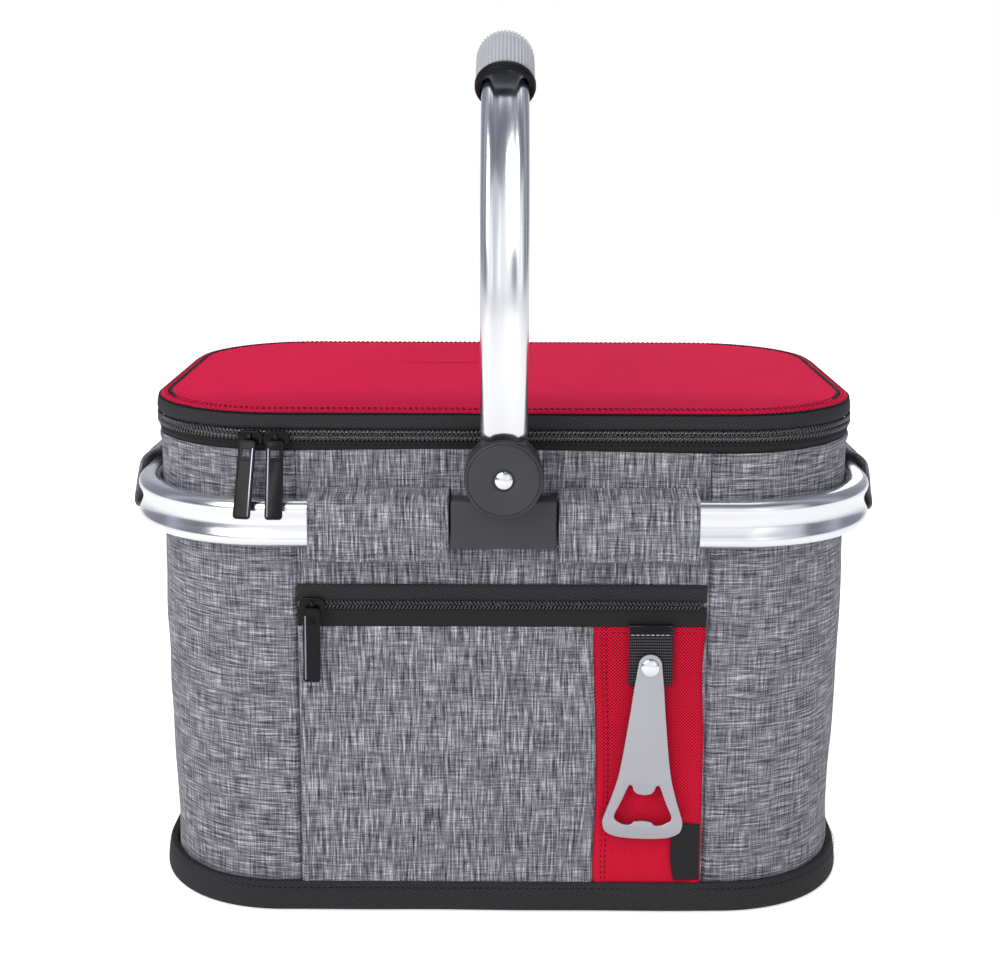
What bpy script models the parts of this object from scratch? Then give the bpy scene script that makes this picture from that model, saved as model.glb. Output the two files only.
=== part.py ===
"""Insulated cooler bag: a soft tub in an aluminium ring frame, with a swing handle and a zipped lid.

Metres, +Z up. The front faces -Y, +X is to the right, and the origin is the middle of the base.
The wall outline is a rounded rectangle. Everything that follows it is a section swept round it:
a section point (u, v) stands u outside the wall's outer face, at height v.
"""
import math

import bmesh
import bpy
from mathutils import Matrix, Vector

# Bag outline and heights
HALF_WIDTH = 0.205
HALF_DEPTH = 0.138
CORNER = 0.0776
CORNER_STEPS = 7
GAP = 0.0003
FABRIC = 0.0012
FOAM = 0.008
LINER = 0.0008
BINDING_TOP = 0.0162
BINDING_PROUD = 0.0030
BASE_COVER_TOP = 0.0024
BASE_BOARD_TOP = 0.0052
PANEL_TOP = 0.2735
RIM_TAPE_TOP = 0.2808
FOAM_TOP = 0.2805
ZIP_Z = 0.28255
TEETH_HEIGHT = 0.0014
TEETH_PROUD = 0.0008
LID_BAND_BOTTOM = 0.2843
LID_BAND_TOP = 0.2931
LID_BAND_PROUD = 0.0009
LID_TOP = 0.2968
LID_SKIN_INSIDE = -0.0006
PIPING_RADIUS = 0.0014
PIPING_Z = 0.2948
PIPING_OFFSET = -0.0004
SEAM_X = 0.117
LID_HINGE_Y = HALF_DEPTH + 0.0018
LID_HINGE_X = 0.115

# Front pocket
POCKET_SKIN = 0.0017
POCKET_BOTTOM = 0.0168
POCKET_TOP = 0.1731
POCKET_ZIP_Z = 0.1853
POCKET_TAPE_TOP = 0.1970
POCKET_TEETH_HALF = 0.0021
ACCENT_X = (0.0529, 0.1155)
LABEL_X = (0.0990, 0.1140)
LABEL_Z = (0.0185, 0.0535)

# Ring frame: a grooved aluminium section standing off the wall
RING_Z = 0.2342
RING_HEIGHT = 0.0275
RING_THICK = 0.0125
RING_MID = 0.00815
RING_WALL = 0.0012
GROOVE = 0.0025
RING_END_X = 0.0303
SLEEVE_X = (0.0303, 0.109)
SLEEVE_Z = (0.2135, 0.2508)
SLEEVE_U = (0.0003, 0.0165)
STRAP_HALF = 0.035
STRAP_THICK = 0.0020

# Handle: circular legs, tight elbows and a straight crossbar, in the plane X = 0
PIVOT_Z = 0.2645
PIVOT_Y = 0.16405
DISC_RADIUS = 0.0215
DISC_HALF = 0.00845
BRACKET_U = (0.0012, 0.0172)
EAR_INNER_U = 0.0085
BLOCK_HALF = 0.0297
BLOCK_Z = (0.2215, 0.2490)
HANDLE_WIDTH = 0.0256
HANDLE_THICK = 0.0130
HANDLE_WALL = 0.0013
LEG_START = (0.1662, 0.2890)
LEG_RADIUS = 0.160
GRIP_START = math.radians(45)
GRIP_START_Z = 0.4768
CROSSBAR_Z = 0.4895
GRIP_RADIUS = 0.0160
GRIP_BORE = 0.0136
COLLAR_RADIUS = 0.0166
COLLAR_LENGTH = 0.006
RIVET_HEAD = 0.0053
RIVET_SHAFT = 0.0030
RIVET_HOLE = 0.0035
RIVET_LENGTH = 0.0260

# Zip sliders and pull tabs
SLIDER_WIDTH = 0.0120
SLIDER_HEIGHT = 0.0092
SLIDER_U = (0.0012, 0.0036)
BRIDGE_U = 0.0060
PULL_AXIS_U = 0.0075
PULL_AXIS_DROP = 0.0012
PULL_THICK = 0.0016
PULL_WIDTH = 0.0098
PULL_TOP = 0.0008
PULL_CORNER = 0.002
SLIDER_DROP = 0.0017
POCKET_SLIDER_PROUD = 0.0014
MAIN_PULL_LENGTH = 0.0430
POCKET_PULL_LENGTH = 0.0420
MAIN_PULL_TILT = math.radians(18.5)
POCKET_PULL_TILT = math.radians(2)
LEFT_SLIDER_X = 0.1410
RIGHT_SLIDER_X = 0.1268
POCKET_SLIDER_X = 0.1080

# Bottle opener on its webbing loop
WEBBING_X = (0.0715, 0.0965)
WEBBING_U = (0.0021, 0.0045)
WEBBING_BOTTOM = 0.1398
OPENER_RIVET = (0.0836, 0.1497)
OPENER_U = (0.0049, 0.0067)
OPENER_TILT = math.radians(1.8)
OPENER_HEAD = 0.0067
OPENER_RIVET_HEAD = 0.0054
OPENER_SHAFT = 0.0019
OPENER_HOLE = 0.0025

COLOURS = {
    "heather": ((0.20, 0.20, 0.22), 0.9, 0.0),
    "red": ((0.60, 0.015, 0.05), 0.75, 0.0),
    "twill": ((0.03, 0.03, 0.034), 0.85, 0.0),
    "webbing": ((0.02, 0.02, 0.022), 0.8, 0.0),
    "aluminium": ((0.77, 0.78, 0.80), 0.25, 1.0),
    "plastic": ((0.05, 0.048, 0.052), 0.5, 0.0),
    "grip": ((0.62, 0.63, 0.65), 0.6, 0.0),
    "collar": ((0.012, 0.012, 0.014), 0.6, 0.0),
    "foam": ((0.75, 0.75, 0.74), 0.9, 0.0),
    "film": ((0.72, 0.73, 0.75), 0.3, 0.8),
    "board": ((0.28, 0.27, 0.26), 0.8, 0.0),
    "zip_teeth": ((0.015, 0.015, 0.017), 0.35, 0.0),
    "slider": ((0.012, 0.012, 0.014), 0.3, 0.6),
    "steel": ((0.62, 0.63, 0.66), 0.28, 1.0),
}

parts = None
cutters = None


# --- Scene and object helpers -------------------------------------------------

def clear_scene():
    for obj in list(bpy.data.objects):
        bpy.data.objects.remove(obj, do_unlink=True)


def new_collection(name):
    made = bpy.data.collections.new(name)
    bpy.context.scene.collection.children.link(made)
    return made


def material(name):
    """One Principled material for each kind of surface."""
    found = bpy.data.materials.get(name)
    if found:
        return found
    colour, roughness, metallic = COLOURS[name]
    made = bpy.data.materials.new(name)
    made.use_nodes = True
    shader = made.node_tree.nodes["Principled BSDF"]
    shader.inputs["Base Color"].default_value = (*colour, 1)
    shader.inputs["Roughness"].default_value = roughness
    shader.inputs["Metallic"].default_value = metallic
    return made


def add_object(name, data, look, collection=None):
    obj = bpy.data.objects.new(name, data)
    (collection or parts).objects.link(obj)
    obj.data.materials.append(material(look))
    return obj


def mesh_object(name, work, look, collection=None):
    """Turns a bmesh into an object with its faces pointing out."""
    bmesh.ops.recalc_face_normals(work, faces=work.faces)
    mesh = bpy.data.meshes.new(name)
    work.to_mesh(mesh)
    work.free()
    return add_object(name, mesh, look, collection)


def place(obj, location=(0, 0, 0), rotation=(0, 0, 0), parent=None):
    obj.location = location
    obj.rotation_euler = rotation
    obj.parent = parent
    return obj


def joint_empty(name, location, rotation=(0, 0, 0), parent=None):
    """An empty on a joint's axis, which the moving pieces are parented to."""
    empty = bpy.data.objects.new(name, None)
    parts.objects.link(empty)
    return place(empty, location, rotation, parent)


def cut(obj, tool, operation="DIFFERENCE"):
    """A Boolean with a tool that moves with the piece it cuts."""
    tool.hide_render = True
    tool.display_type = "WIRE"
    modifier = obj.modifiers.new(operation.lower(), "BOOLEAN")
    modifier.operation = operation
    modifier.object = tool
    modifier.solver = "EXACT"


# --- Shapes -------------------------------------------------------------------

def sweep(name, frames, section, look, closed=False, capped=True, collection=None):
    """Sweeps a closed section of (u, v) points along frames of (origin, u axis, v axis)."""
    work = bmesh.new()
    rings = []
    for origin, u_axis, v_axis in frames:
        rings.append([work.verts.new(origin + u * u_axis + v * v_axis) for u, v in section])
    count = len(section)
    pairs = list(zip(rings, rings[1:]))
    if closed:
        pairs.append((rings[-1], rings[0]))
    for here, there in pairs:
        for i in range(count):
            j = (i + 1) % count
            work.faces.new((here[i], here[j], there[j], there[i]))
    if capped and not closed:
        work.faces.new(rings[0])
        work.faces.new(rings[-1])
    return mesh_object(name, work, look, collection)


def plate(name, outlines, thickness, look, collection=None):
    """A flat plate in its local XY plane, centred on it, from an outline and any holes."""
    curve = bpy.data.curves.new(name, "CURVE")
    curve.dimensions = "2D"
    curve.fill_mode = "BOTH"
    curve.extrude = thickness / 2
    for outline in outlines:
        spline = curve.splines.new("POLY")
        spline.points.add(len(outline) - 1)
        for point, (x, y) in zip(spline.points, outline):
            point.co = (x, y, 0, 1)
        spline.use_cyclic_u = True
    obj = bpy.data.objects.new(name, curve)
    (collection or parts).objects.link(obj)
    bpy.context.view_layer.update()
    mesh = bpy.data.meshes.new_from_object(obj.evaluated_get(bpy.context.evaluated_depsgraph_get()))
    bpy.data.objects.remove(obj, do_unlink=True)
    work = bmesh.new()
    work.from_mesh(mesh)
    bmesh.ops.remove_doubles(work, verts=work.verts, dist=1e-6)
    return mesh_object(name, work, look, collection)


def box(name, low, high, look, collection=None):
    work = bmesh.new()
    bmesh.ops.create_cube(work, size=1)
    size = Vector(high) - Vector(low)
    middle = (Vector(high) + Vector(low)) / 2
    bmesh.ops.scale(work, vec=size, verts=work.verts)
    bmesh.ops.translate(work, vec=middle, verts=work.verts)
    return mesh_object(name, work, look, collection)


def cylinder(name, radius, low, high, look, sides=32, collection=None):
    """A cylinder on its local Y axis from low to high."""
    work = bmesh.new()
    spin = Matrix.Rotation(math.radians(90), 4, "X")
    middle = Matrix.Translation((0, (low + high) / 2, 0))
    bmesh.ops.create_cone(
        work, cap_ends=True, segments=sides, radius1=radius, radius2=radius,
        depth=high - low, matrix=middle @ spin)
    return mesh_object(name, work, look, collection)


def thicken(obj, thickness, offset=-1):
    """Gives an open surface a wall: inside it by default, or centred on it with offset 0."""
    shell = obj.modifiers.new("thickness", "SOLIDIFY")
    shell.thickness = thickness
    shell.offset = offset
    shell.use_even_offset = True
    return obj


def turned(name, profile, look, sides=16):
    """A solid turned about its local Z axis from a profile of (radius, z) points."""
    mesh = bpy.data.meshes.new(name)
    edges = [(i, i + 1) for i in range(len(profile) - 1)]
    mesh.from_pydata([(radius, 0, z) for radius, z in profile], edges, [])
    obj = add_object(name, mesh, look)
    turn = obj.modifiers.new("turn", "SCREW")
    turn.angle = math.tau
    turn.steps = sides
    turn.render_steps = sides
    turn.use_merge_vertices = True
    turn.merge_threshold = 0.00005
    return obj


def arc(centre, radius, start, end, steps):
    """Points on an arc, angles in degrees."""
    points = []
    for i in range(steps + 1):
        angle = math.radians(start + (end - start) * i / steps)
        points.append((centre[0] + radius * math.cos(angle), centre[1] + radius * math.sin(angle)))
    return points


def rounded_rectangle(u_range, v_range, radius, steps=2):
    (u0, u1), (v0, v1) = u_range, v_range
    points = []
    for u, v, start in ((u1 - radius, v0 + radius, -90), (u1 - radius, v1 - radius, 0),
                        (u0 + radius, v1 - radius, 90), (u0 + radius, v0 + radius, 180)):
        points += arc((u, v), radius, start, start + 90, steps)
    return points


def rectangle(u_range, v_range):
    (u0, u1), (v0, v1) = u_range, v_range
    return [(u0, v0), (u1, v0), (u1, v1), (u0, v1)]


# --- The wall's outline -------------------------------------------------------

def wall_frame(x, y, normal_x, normal_y):
    return Vector((x, y, 0)), Vector((normal_x, normal_y, 0)), Vector((0, 0, 1))


def half_wall(side, front_x, back_x):
    """Frames from the front at front_x, round the end on that side, to the back at back_x."""
    straight_x = HALF_WIDTH - CORNER
    straight_y = HALF_DEPTH - CORNER
    frames = [wall_frame(side * front_x, -HALF_DEPTH, 0, -1)]
    for centre_y, start in ((-straight_y, -90), (straight_y, 0)):
        for i in range(CORNER_STEPS + 1):
            angle = math.radians(start + 90 * i / CORNER_STEPS)
            nx, ny = math.cos(angle), math.sin(angle)
            frames.append(wall_frame(side * (straight_x + CORNER * nx), centre_y + CORNER * ny,
                                     side * nx, ny))
    frames.append(wall_frame(side * back_x, HALF_DEPTH, 0, 1))
    return frames


def whole_wall():
    """The closed outline: the right half, then the left half backwards."""
    right = half_wall(1, 0, 0)[1:-1]
    left = half_wall(-1, 0, 0)[1:-1]
    return right + left[::-1]


def zip_wall():
    """The three sides that the main zip runs round, from back left to back right."""
    left = half_wall(-1, 0, LID_HINGE_X)[1:]
    right = half_wall(1, 0, LID_HINGE_X)[1:]
    return left[::-1] + right


def flat_wall(x_low, x_high, side=-1):
    return [wall_frame(x, side * HALF_DEPTH, 0, side) for x in (x_low, x_high)]


def wall_outline(offset):
    return [((origin + offset * normal).x, (origin + offset * normal).y)
            for origin, normal, _ in whole_wall()]


def slab(name, offset, z_low, z_high, look):
    obj = plate(name, [wall_outline(offset)], z_high - z_low, look)
    return place(obj, (0, 0, (z_low + z_high) / 2))


def tub(name, offset, thickness, z_low, z_high, look):
    """An open-topped tub: a floor face with its edge drawn up, then thickened inwards."""
    work = bmesh.new()
    floor = work.faces.new([work.verts.new((x, y, z_low)) for x, y in wall_outline(offset)])
    drawn = bmesh.ops.extrude_edge_only(work, edges=floor.edges[:])
    rim = [v for v in drawn["geom"] if isinstance(v, bmesh.types.BMVert)]
    bmesh.ops.translate(work, vec=(0, 0, z_high - z_low), verts=rim)
    return thicken(mesh_object(name, work, look), thickness)


# --- Bag body -----------------------------------------------------------------

def make_base():
    inside = -FABRIC - GAP
    slab("base_cover", inside, 0, BASE_COVER_TOP, "twill")
    slab("base_board", inside, BASE_COVER_TOP + GAP, BASE_BOARD_TOP, "board")
    section = rectangle((-FABRIC + GAP / 2, BINDING_PROUD), (0, BINDING_TOP))
    section[2] = (BINDING_PROUD - 0.0014, BINDING_TOP)
    sweep("base_binding", whole_wall(), section, "twill", closed=True)


def make_tub():
    inside = -FABRIC - GAP
    foam_floor = BASE_BOARD_TOP + GAP
    tub("wall_foam", inside, FOAM, foam_floor, FOAM_TOP, "foam")
    tub("liner", inside - FOAM - GAP, LINER, foam_floor + FOAM + GAP, FOAM_TOP, "film")


def make_panels():
    section = rectangle((-FABRIC, 0), (BINDING_TOP + GAP, PANEL_TOP))
    sweep("front_panel", flat_wall(-SEAM_X, SEAM_X), section, "heather")
    sweep("back_panel", flat_wall(-SEAM_X, SEAM_X, 1), section, "heather")
    edge = SEAM_X + GAP
    sweep("side_panel_right", half_wall(1, edge, edge), section, "heather")
    sweep("side_panel_left", half_wall(-1, edge, edge), section, "heather")


def make_rim():
    section = rectangle((-FABRIC, 0), (PANEL_TOP + GAP, RIM_TAPE_TOP))
    sweep("rim_tape", whole_wall(), section, "twill", closed=True)
    teeth_top = ZIP_Z - GAP / 2
    teeth = rectangle((-TEETH_PROUD, TEETH_PROUD), (teeth_top - TEETH_HEIGHT, teeth_top))
    sweep("rim_zip_teeth", zip_wall(), teeth, "zip_teeth")
    strip = rectangle((GAP, GAP + 0.0007), (PANEL_TOP + 0.002, ZIP_Z - GAP))
    sweep("rear_hinge_strip", flat_wall(-LID_HINGE_X + 0.001, LID_HINGE_X - 0.001, 1), strip, "twill")


def make_pocket():
    skin = (GAP, POCKET_SKIN)
    panel = rectangle(skin, (POCKET_BOTTOM, POCKET_TOP))
    sweep("pocket_panel", flat_wall(-SEAM_X + GAP, ACCENT_X[0] - GAP), panel, "heather")
    sweep("accent_panel", flat_wall(*ACCENT_X), panel, "red")
    across = flat_wall(-SEAM_X + GAP, ACCENT_X[1])
    teeth_low = POCKET_ZIP_Z - POCKET_TEETH_HALF
    teeth_high = POCKET_ZIP_Z + POCKET_TEETH_HALF
    lower = rectangle(skin, (POCKET_TOP + GAP, teeth_low - GAP))
    upper = rectangle(skin, (teeth_high + GAP, POCKET_TAPE_TOP))
    teeth = rectangle((GAP, POCKET_SKIN + 0.0005), (teeth_low, teeth_high))
    sweep("pocket_tape_lower", across, lower, "twill")
    sweep("pocket_tape_upper", across, upper, "twill")
    sweep("pocket_zip_teeth", across, teeth, "zip_teeth")
    label = rectangle((POCKET_SKIN + GAP, POCKET_SKIN + 0.0018), LABEL_Z)
    sweep("side_label", flat_wall(*LABEL_X), label, "webbing")


# --- Ring frame ---------------------------------------------------------------

def grooved_section(width, thickness, middle_u=0.0, middle_v=0.0):
    """The extruded bar's section: two lobes and a groove outside, a flat back inside."""
    half = [
        (thickness / 2 - 0.75 * GROOVE, 0.14 * width),
        (thickness / 2, 0.30 * width),
        (0.38 * thickness, 0.43 * width),
        (0.12 * thickness, 0.50 * width),
        (-0.30 * thickness, 0.49 * width),
        (-0.50 * thickness, 0.36 * width),
    ]
    points = [(thickness / 2 - GROOVE, 0)] + half + [(u, -v) for u, v in reversed(half)]
    return [(middle_u + u, middle_v + v) for u, v in points]


def make_ring():
    section = grooved_section(RING_HEIGHT, RING_THICK, RING_MID, RING_Z)
    for name, side in (("ring_right", 1), ("ring_left", -1)):
        frames = half_wall(side, RING_END_X, RING_END_X)
        thicken(sweep(name, frames, section, "aluminium", capped=False), RING_WALL)


def make_connectors():
    """A block between the ring's ends, with a tongue into each and a round ear for the pivot."""
    tongue_u = (RING_MID - 0.0043, RING_MID + 0.0015)
    tongue_z = (RING_Z - 0.0105, RING_Z + 0.0105)
    for name, side in (("front_connector", -1), ("back_connector", 1)):
        block = rounded_rectangle(BRACKET_U, BLOCK_Z, 0.0015)
        body = sweep(name, flat_wall(-BLOCK_HALF, BLOCK_HALF, side), block, "plastic")
        reach = BLOCK_HALF + 0.022
        tongue = sweep(name + "_tongue", flat_wall(-reach, reach, side),
                       rectangle(tongue_u, tongue_z), "plastic", collection=cutters)
        ends = sorted(side * (HALF_DEPTH + u) for u in (EAR_INNER_U, BRACKET_U[1]))
        ear = cylinder(name + "_ear", DISC_RADIUS, *ends, "plastic", collection=cutters)
        ear.location = (0, 0, PIVOT_Z)
        hole = cylinder(name + "_hole", RIVET_HOLE, ends[0] - 0.001,
                        ends[1] + 0.001, "plastic", sides=16, collection=cutters)
        hole.location = (0, 0, PIVOT_Z)
        cut(body, tongue, "UNION")
        cut(body, ear, "UNION")
        cut(body, hole)


def make_pivot_rivets():
    """A shaft through the hinge disc into the connector's ear, under a low domed head."""
    head_y = PIVOT_Y + DISC_HALF + GAP
    profile = [(0, 0.0018), (0.0022, 0.0016), (0.0040, 0.0010), (RIVET_HEAD, 0),
               (RIVET_SHAFT, 0), (RIVET_SHAFT, -RIVET_LENGTH), (0, -RIVET_LENGTH)]
    for name, side in (("front_pivot_rivet", -1), ("back_pivot_rivet", 1)):
        rivet = turned(name, profile, "steel")
        place(rivet, (0, side * head_y, PIVOT_Z), (math.radians(-90 * side), 0, 0))


def make_sleeves():
    """A fabric wrap round the bar: a closed band with a bore for the bar."""
    outer = rounded_rectangle(SLEEVE_U, SLEEVE_Z, 0.004)
    bore_u = (RING_MID - RING_THICK / 2 - 0.0004, RING_MID + RING_THICK / 2 + 0.0004)
    bore_z = (RING_Z - RING_HEIGHT / 2 - 0.0004, RING_Z + RING_HEIGHT / 2 + 0.0004)
    bore = rounded_rectangle(bore_u, bore_z, 0.0025)
    for end, side in (("front", -1), ("back", 1)):
        for hand, sign in (("left", -1), ("right", 1)):
            name = f"{end}_sleeve_{hand}"
            x_range = sorted(sign * x for x in SLEEVE_X)
            body = sweep(name, flat_wall(*x_range, side), outer, "heather")
            inner = sweep(name + "_bore", flat_wall(x_range[0] - 0.005, x_range[1] + 0.005, side),
                          bore, "heather", collection=cutters)
            cut(body, inner)


def make_side_straps():
    """A strap from under the zip, over the bar, down outside it and back under it."""
    route = [(0.0017, 0.2728), (0.0020, 0.2630), (0.0065, 0.2535), (0.0145, 0.2500),
             (0.0190, 0.2450), (0.0235, 0.2205), (0.0215, 0.2172), (0.0050, 0.2182),
             (0.0017, 0.2140)]
    for name, side in (("side_strap_right", 1), ("side_strap_left", -1)):
        work = bmesh.new()
        lines = []
        for y in (-STRAP_HALF, STRAP_HALF):
            lines.append([work.verts.new((side * (HALF_WIDTH + u), y, z)) for u, z in route])
        for i in range(len(route) - 1):
            work.faces.new((lines[0][i], lines[0][i + 1], lines[1][i + 1], lines[1][i]))
        thicken(mesh_object(name, work, "heather"), STRAP_THICK, offset=0)


# --- Handle -------------------------------------------------------------------

def leg_lean():
    """How far the leg leans outwards at its foot, so that its arc ends at the grip."""
    return math.asin((GRIP_START_Z - LEG_START[1]) / LEG_RADIUS - math.sin(GRIP_START))


def handle_path():
    """Centreline as (y, z, tangent angle from upright), front foot to back foot."""
    foot_y, foot_z = LEG_START
    lean = leg_lean()
    centre_y = -foot_y + LEG_RADIUS * math.cos(lean)
    centre_z = foot_z + LEG_RADIUS * math.sin(lean)
    front = []
    leg_steps = 11
    for i in range(leg_steps + 1):
        angle = -lean + (GRIP_START + lean) * i / leg_steps
        front.append((centre_y - LEG_RADIUS * math.cos(angle),
                      centre_z + LEG_RADIUS * math.sin(angle), angle))
    grip_y, grip_z, _ = front[-1]
    elbow = (CROSSBAR_Z - grip_z) / (1 - math.sin(GRIP_START))
    elbow_steps = 4
    for i in range(1, elbow_steps + 1):
        angle = GRIP_START + (math.pi / 2 - GRIP_START) * i / elbow_steps
        front.append((grip_y + elbow * (math.cos(GRIP_START) - math.cos(angle)),
                      grip_z + elbow * (math.sin(angle) - math.sin(GRIP_START)), angle))
    back = [(-y, z, math.pi - angle) for y, z, angle in reversed(front)]
    return front + back, leg_steps


def handle_frames(path):
    """The section's u axis points out of the arch, and its v axis along X."""
    frames = []
    for y, z, angle in path:
        outward = Vector((0, -math.cos(angle), math.sin(angle)))
        frames.append((Vector((0, y, z - PIVOT_Z)), outward, Vector((1, 0, 0))))
    return frames


def circle_section(radius, sides=16):
    return [(radius * math.cos(math.tau * i / sides), radius * math.sin(math.tau * i / sides))
            for i in range(sides)]


def hollow_sweep(name, frames, radius, bore, look):
    """A round sleeve along frames: an open surface thickened inwards to its bore."""
    obj = sweep(name, frames, circle_section(radius), look, capped=False)
    thicken(obj, radius - bore)
    return obj


def make_handle():
    pivot = joint_empty("handle_pivot", (0, 0, PIVOT_Z))
    path, leg_steps = handle_path()
    frames = handle_frames(path)
    section = grooved_section(HANDLE_WIDTH, HANDLE_THICK)
    tube = sweep("handle_tube", frames, section, "aluminium", capped=False)
    thicken(tube, HANDLE_WALL)
    tube.parent = pivot
    grip = hollow_sweep("handle_grip", frames[leg_steps:len(frames) - leg_steps],
                        GRIP_RADIUS, GRIP_BORE, "grip")
    grip.parent = pivot
    for name, at, step in (("grip_collar_front", leg_steps, 1),
                           ("grip_collar_back", len(frames) - 1 - leg_steps, -1)):
        origin, outward, across = frames[at]
        along = across.cross(outward)
        ends = [(origin + along * step * d, outward, across) for d in (GAP, COLLAR_LENGTH)]
        collar = hollow_sweep(name, ends, COLLAR_RADIUS, GRIP_BORE, "collar")
        collar.parent = pivot
    for name, side in (("front_handle_hinge", -1), ("back_handle_hinge", 1)):
        make_handle_hinge(name, side, pivot)


def make_handle_hinge(name, side, pivot):
    """A round disc on the pivot, a neck up to the tube's foot and a tongue inside the tube."""
    low, high = sorted((side * (PIVOT_Y - DISC_HALF), side * (PIVOT_Y + DISC_HALF)))
    disc = cylinder(name, DISC_RADIUS, low, high, "plastic")
    disc.parent = pivot
    foot_y, foot_z = LEG_START
    rise = foot_z - PIVOT_Z
    lean = leg_lean()
    across = Vector((1, 0, 0))
    leaning = Vector((0, side * math.cos(lean), -math.sin(lean)))
    upright = Vector((0, side, 0))
    along = Vector((0, side * math.sin(lean), math.cos(lean)))
    foot = Vector((0, side * foot_y, rise))
    neck_frames = [(Vector((0, side * PIVOT_Y, 0.004)), upright, across),
                   (Vector((0, side * PIVOT_Y, rise - 0.008)), upright, across),
                   (foot - along * GAP, leaning, across)]
    neck = sweep(name + "_neck", neck_frames,
                 rounded_rectangle((-0.0072, 0.0072), (-0.0128, 0.0128), 0.002),
                 "plastic", collection=cutters)
    tongue_frames = [(foot - along * 0.006, leaning, across), (foot + along * 0.018, leaning, across)]
    tongue = sweep(name + "_tongue", tongue_frames,
                   rectangle((-0.0042, 0.0012), (-0.0085, 0.0085)), "plastic", collection=cutters)
    hole = cylinder(name + "_hole", RIVET_HOLE, low - 0.001, high + 0.001, "plastic",
                    sides=16, collection=cutters)
    for tool, operation in ((neck, "UNION"), (tongue, "UNION"), (hole, "DIFFERENCE")):
        tool.parent = pivot
        cut(disc, tool, operation)


# --- Lid ----------------------------------------------------------------------

def make_lid():
    """The lid's pieces are parented to an empty on the hinge line along the top back edge."""
    hinge = joint_empty("lid_hinge", (0, LID_HINGE_Y, ZIP_Z))
    inside = LID_SKIN_INSIDE - GAP
    teeth_low = ZIP_Z + GAP / 2
    band = rectangle((LID_SKIN_INSIDE, LID_BAND_PROUD), (LID_BAND_BOTTOM, LID_BAND_TOP))
    teeth = rectangle((-TEETH_PROUD, TEETH_PROUD), (teeth_low, teeth_low + TEETH_HEIGHT))
    piping = [(PIPING_OFFSET + u, PIPING_Z + v) for u, v in circle_section(PIPING_RADIUS, sides=8)]
    pieces = [
        sweep("lid_band", whole_wall(), band, "twill", closed=True),
        sweep("lid_zip_teeth", zip_wall(), teeth, "zip_teeth"),
        sweep("lid_piping", whole_wall(), piping, "webbing", closed=True),
        slab("lid_liner", -0.0016, LID_BAND_BOTTOM - 0.0010, LID_BAND_BOTTOM, "film"),
        slab("lid_foam", inside, LID_BAND_BOTTOM + GAP, LID_BAND_TOP, "foam"),
        slab("lid_top_panel", PIPING_OFFSET - PIPING_RADIUS - GAP, LID_BAND_TOP + GAP, LID_TOP, "red"),
    ]
    for piece in pieces:
        at = piece.location.copy()
        piece.parent = hinge
        piece.location = at - hinge.location


# --- Zip sliders and pull tabs ------------------------------------------------

def slider_outline():
    """A slider seen from the front: parallel sides and a rounded nose at each end."""
    half = SLIDER_HEIGHT / 2
    reach = SLIDER_WIDTH / 2
    return (arc((reach - half, 0), half, -60, 60, 4)
            + arc((half - reach, 0), half, 120, 240, 4))


def pull_outlines(length):
    """A tab that hangs from y = 0, with a slot near its top."""
    reach = PULL_WIDTH / 2 - PULL_CORNER
    high = PULL_TOP - PULL_CORNER
    low = PULL_CORNER - length
    body = []
    for x, y, start in ((reach, high, 0), (-reach, high, 90), (-reach, low, 180), (reach, low, 270)):
        body += arc((x, y), PULL_CORNER, start, start + 90, 2)
    slot = rectangle((-0.0024, 0.0024), (-0.0085, -0.0040))
    return [body, slot]


def make_slider(kind, location, turn, proud, length, tilt):
    """A slider on its empty, with its bridge, and a pull tab on an empty on the bridge.

    In the slider's own frame the zip runs along X and -Y points out of the bag.
    """
    upright = math.radians(90)
    carriage = joint_empty(f"{kind}_slider_path", location, (0, 0, turn))
    depth = SLIDER_U[1] - SLIDER_U[0]
    body = plate(f"{kind}_zip_slider", [slider_outline()], depth, "slider")
    place(body, (0, -(proud + (SLIDER_U[0] + SLIDER_U[1]) / 2), 0), (upright, 0, 0), carriage)
    bridge_low = -(proud + BRIDGE_U)
    bridge_high = -(proud + SLIDER_U[0] + depth / 2)
    bridge = box(f"{kind}_bridge", (-0.0014, bridge_low, -0.0030), (0.0014, bridge_high, 0.0030),
                 "slider", collection=cutters)
    bridge.parent = carriage
    cut(body, bridge, "UNION")
    axis = joint_empty(f"{kind}_pull_axis", (0, -(proud + PULL_AXIS_U), -PULL_AXIS_DROP),
                       (-tilt, 0, 0), carriage)
    pull = plate(f"{kind}_pull_tab", pull_outlines(length), PULL_THICK, "slider")
    place(pull, (0, 0, 0), (upright, 0, 0), axis)


def make_sliders():
    corner_x = HALF_WIDTH - CORNER
    corner_y = HALF_DEPTH - CORNER
    swing = math.asin((LEFT_SLIDER_X - corner_x) / CORNER)
    left = (-corner_x - CORNER * math.sin(swing), -corner_y - CORNER * math.cos(swing), ZIP_Z - SLIDER_DROP)
    make_slider("left", left, -swing, 0, MAIN_PULL_LENGTH, MAIN_PULL_TILT)
    right = (-RIGHT_SLIDER_X, -HALF_DEPTH, ZIP_Z - SLIDER_DROP)
    make_slider("right", right, 0, 0, MAIN_PULL_LENGTH, MAIN_PULL_TILT)
    pocket = (-POCKET_SLIDER_X, -HALF_DEPTH, POCKET_ZIP_Z)
    make_slider("pocket", pocket, 0, POCKET_SLIDER_PROUD, POCKET_PULL_LENGTH, POCKET_PULL_TILT)


# --- Bottle opener ------------------------------------------------------------

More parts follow.
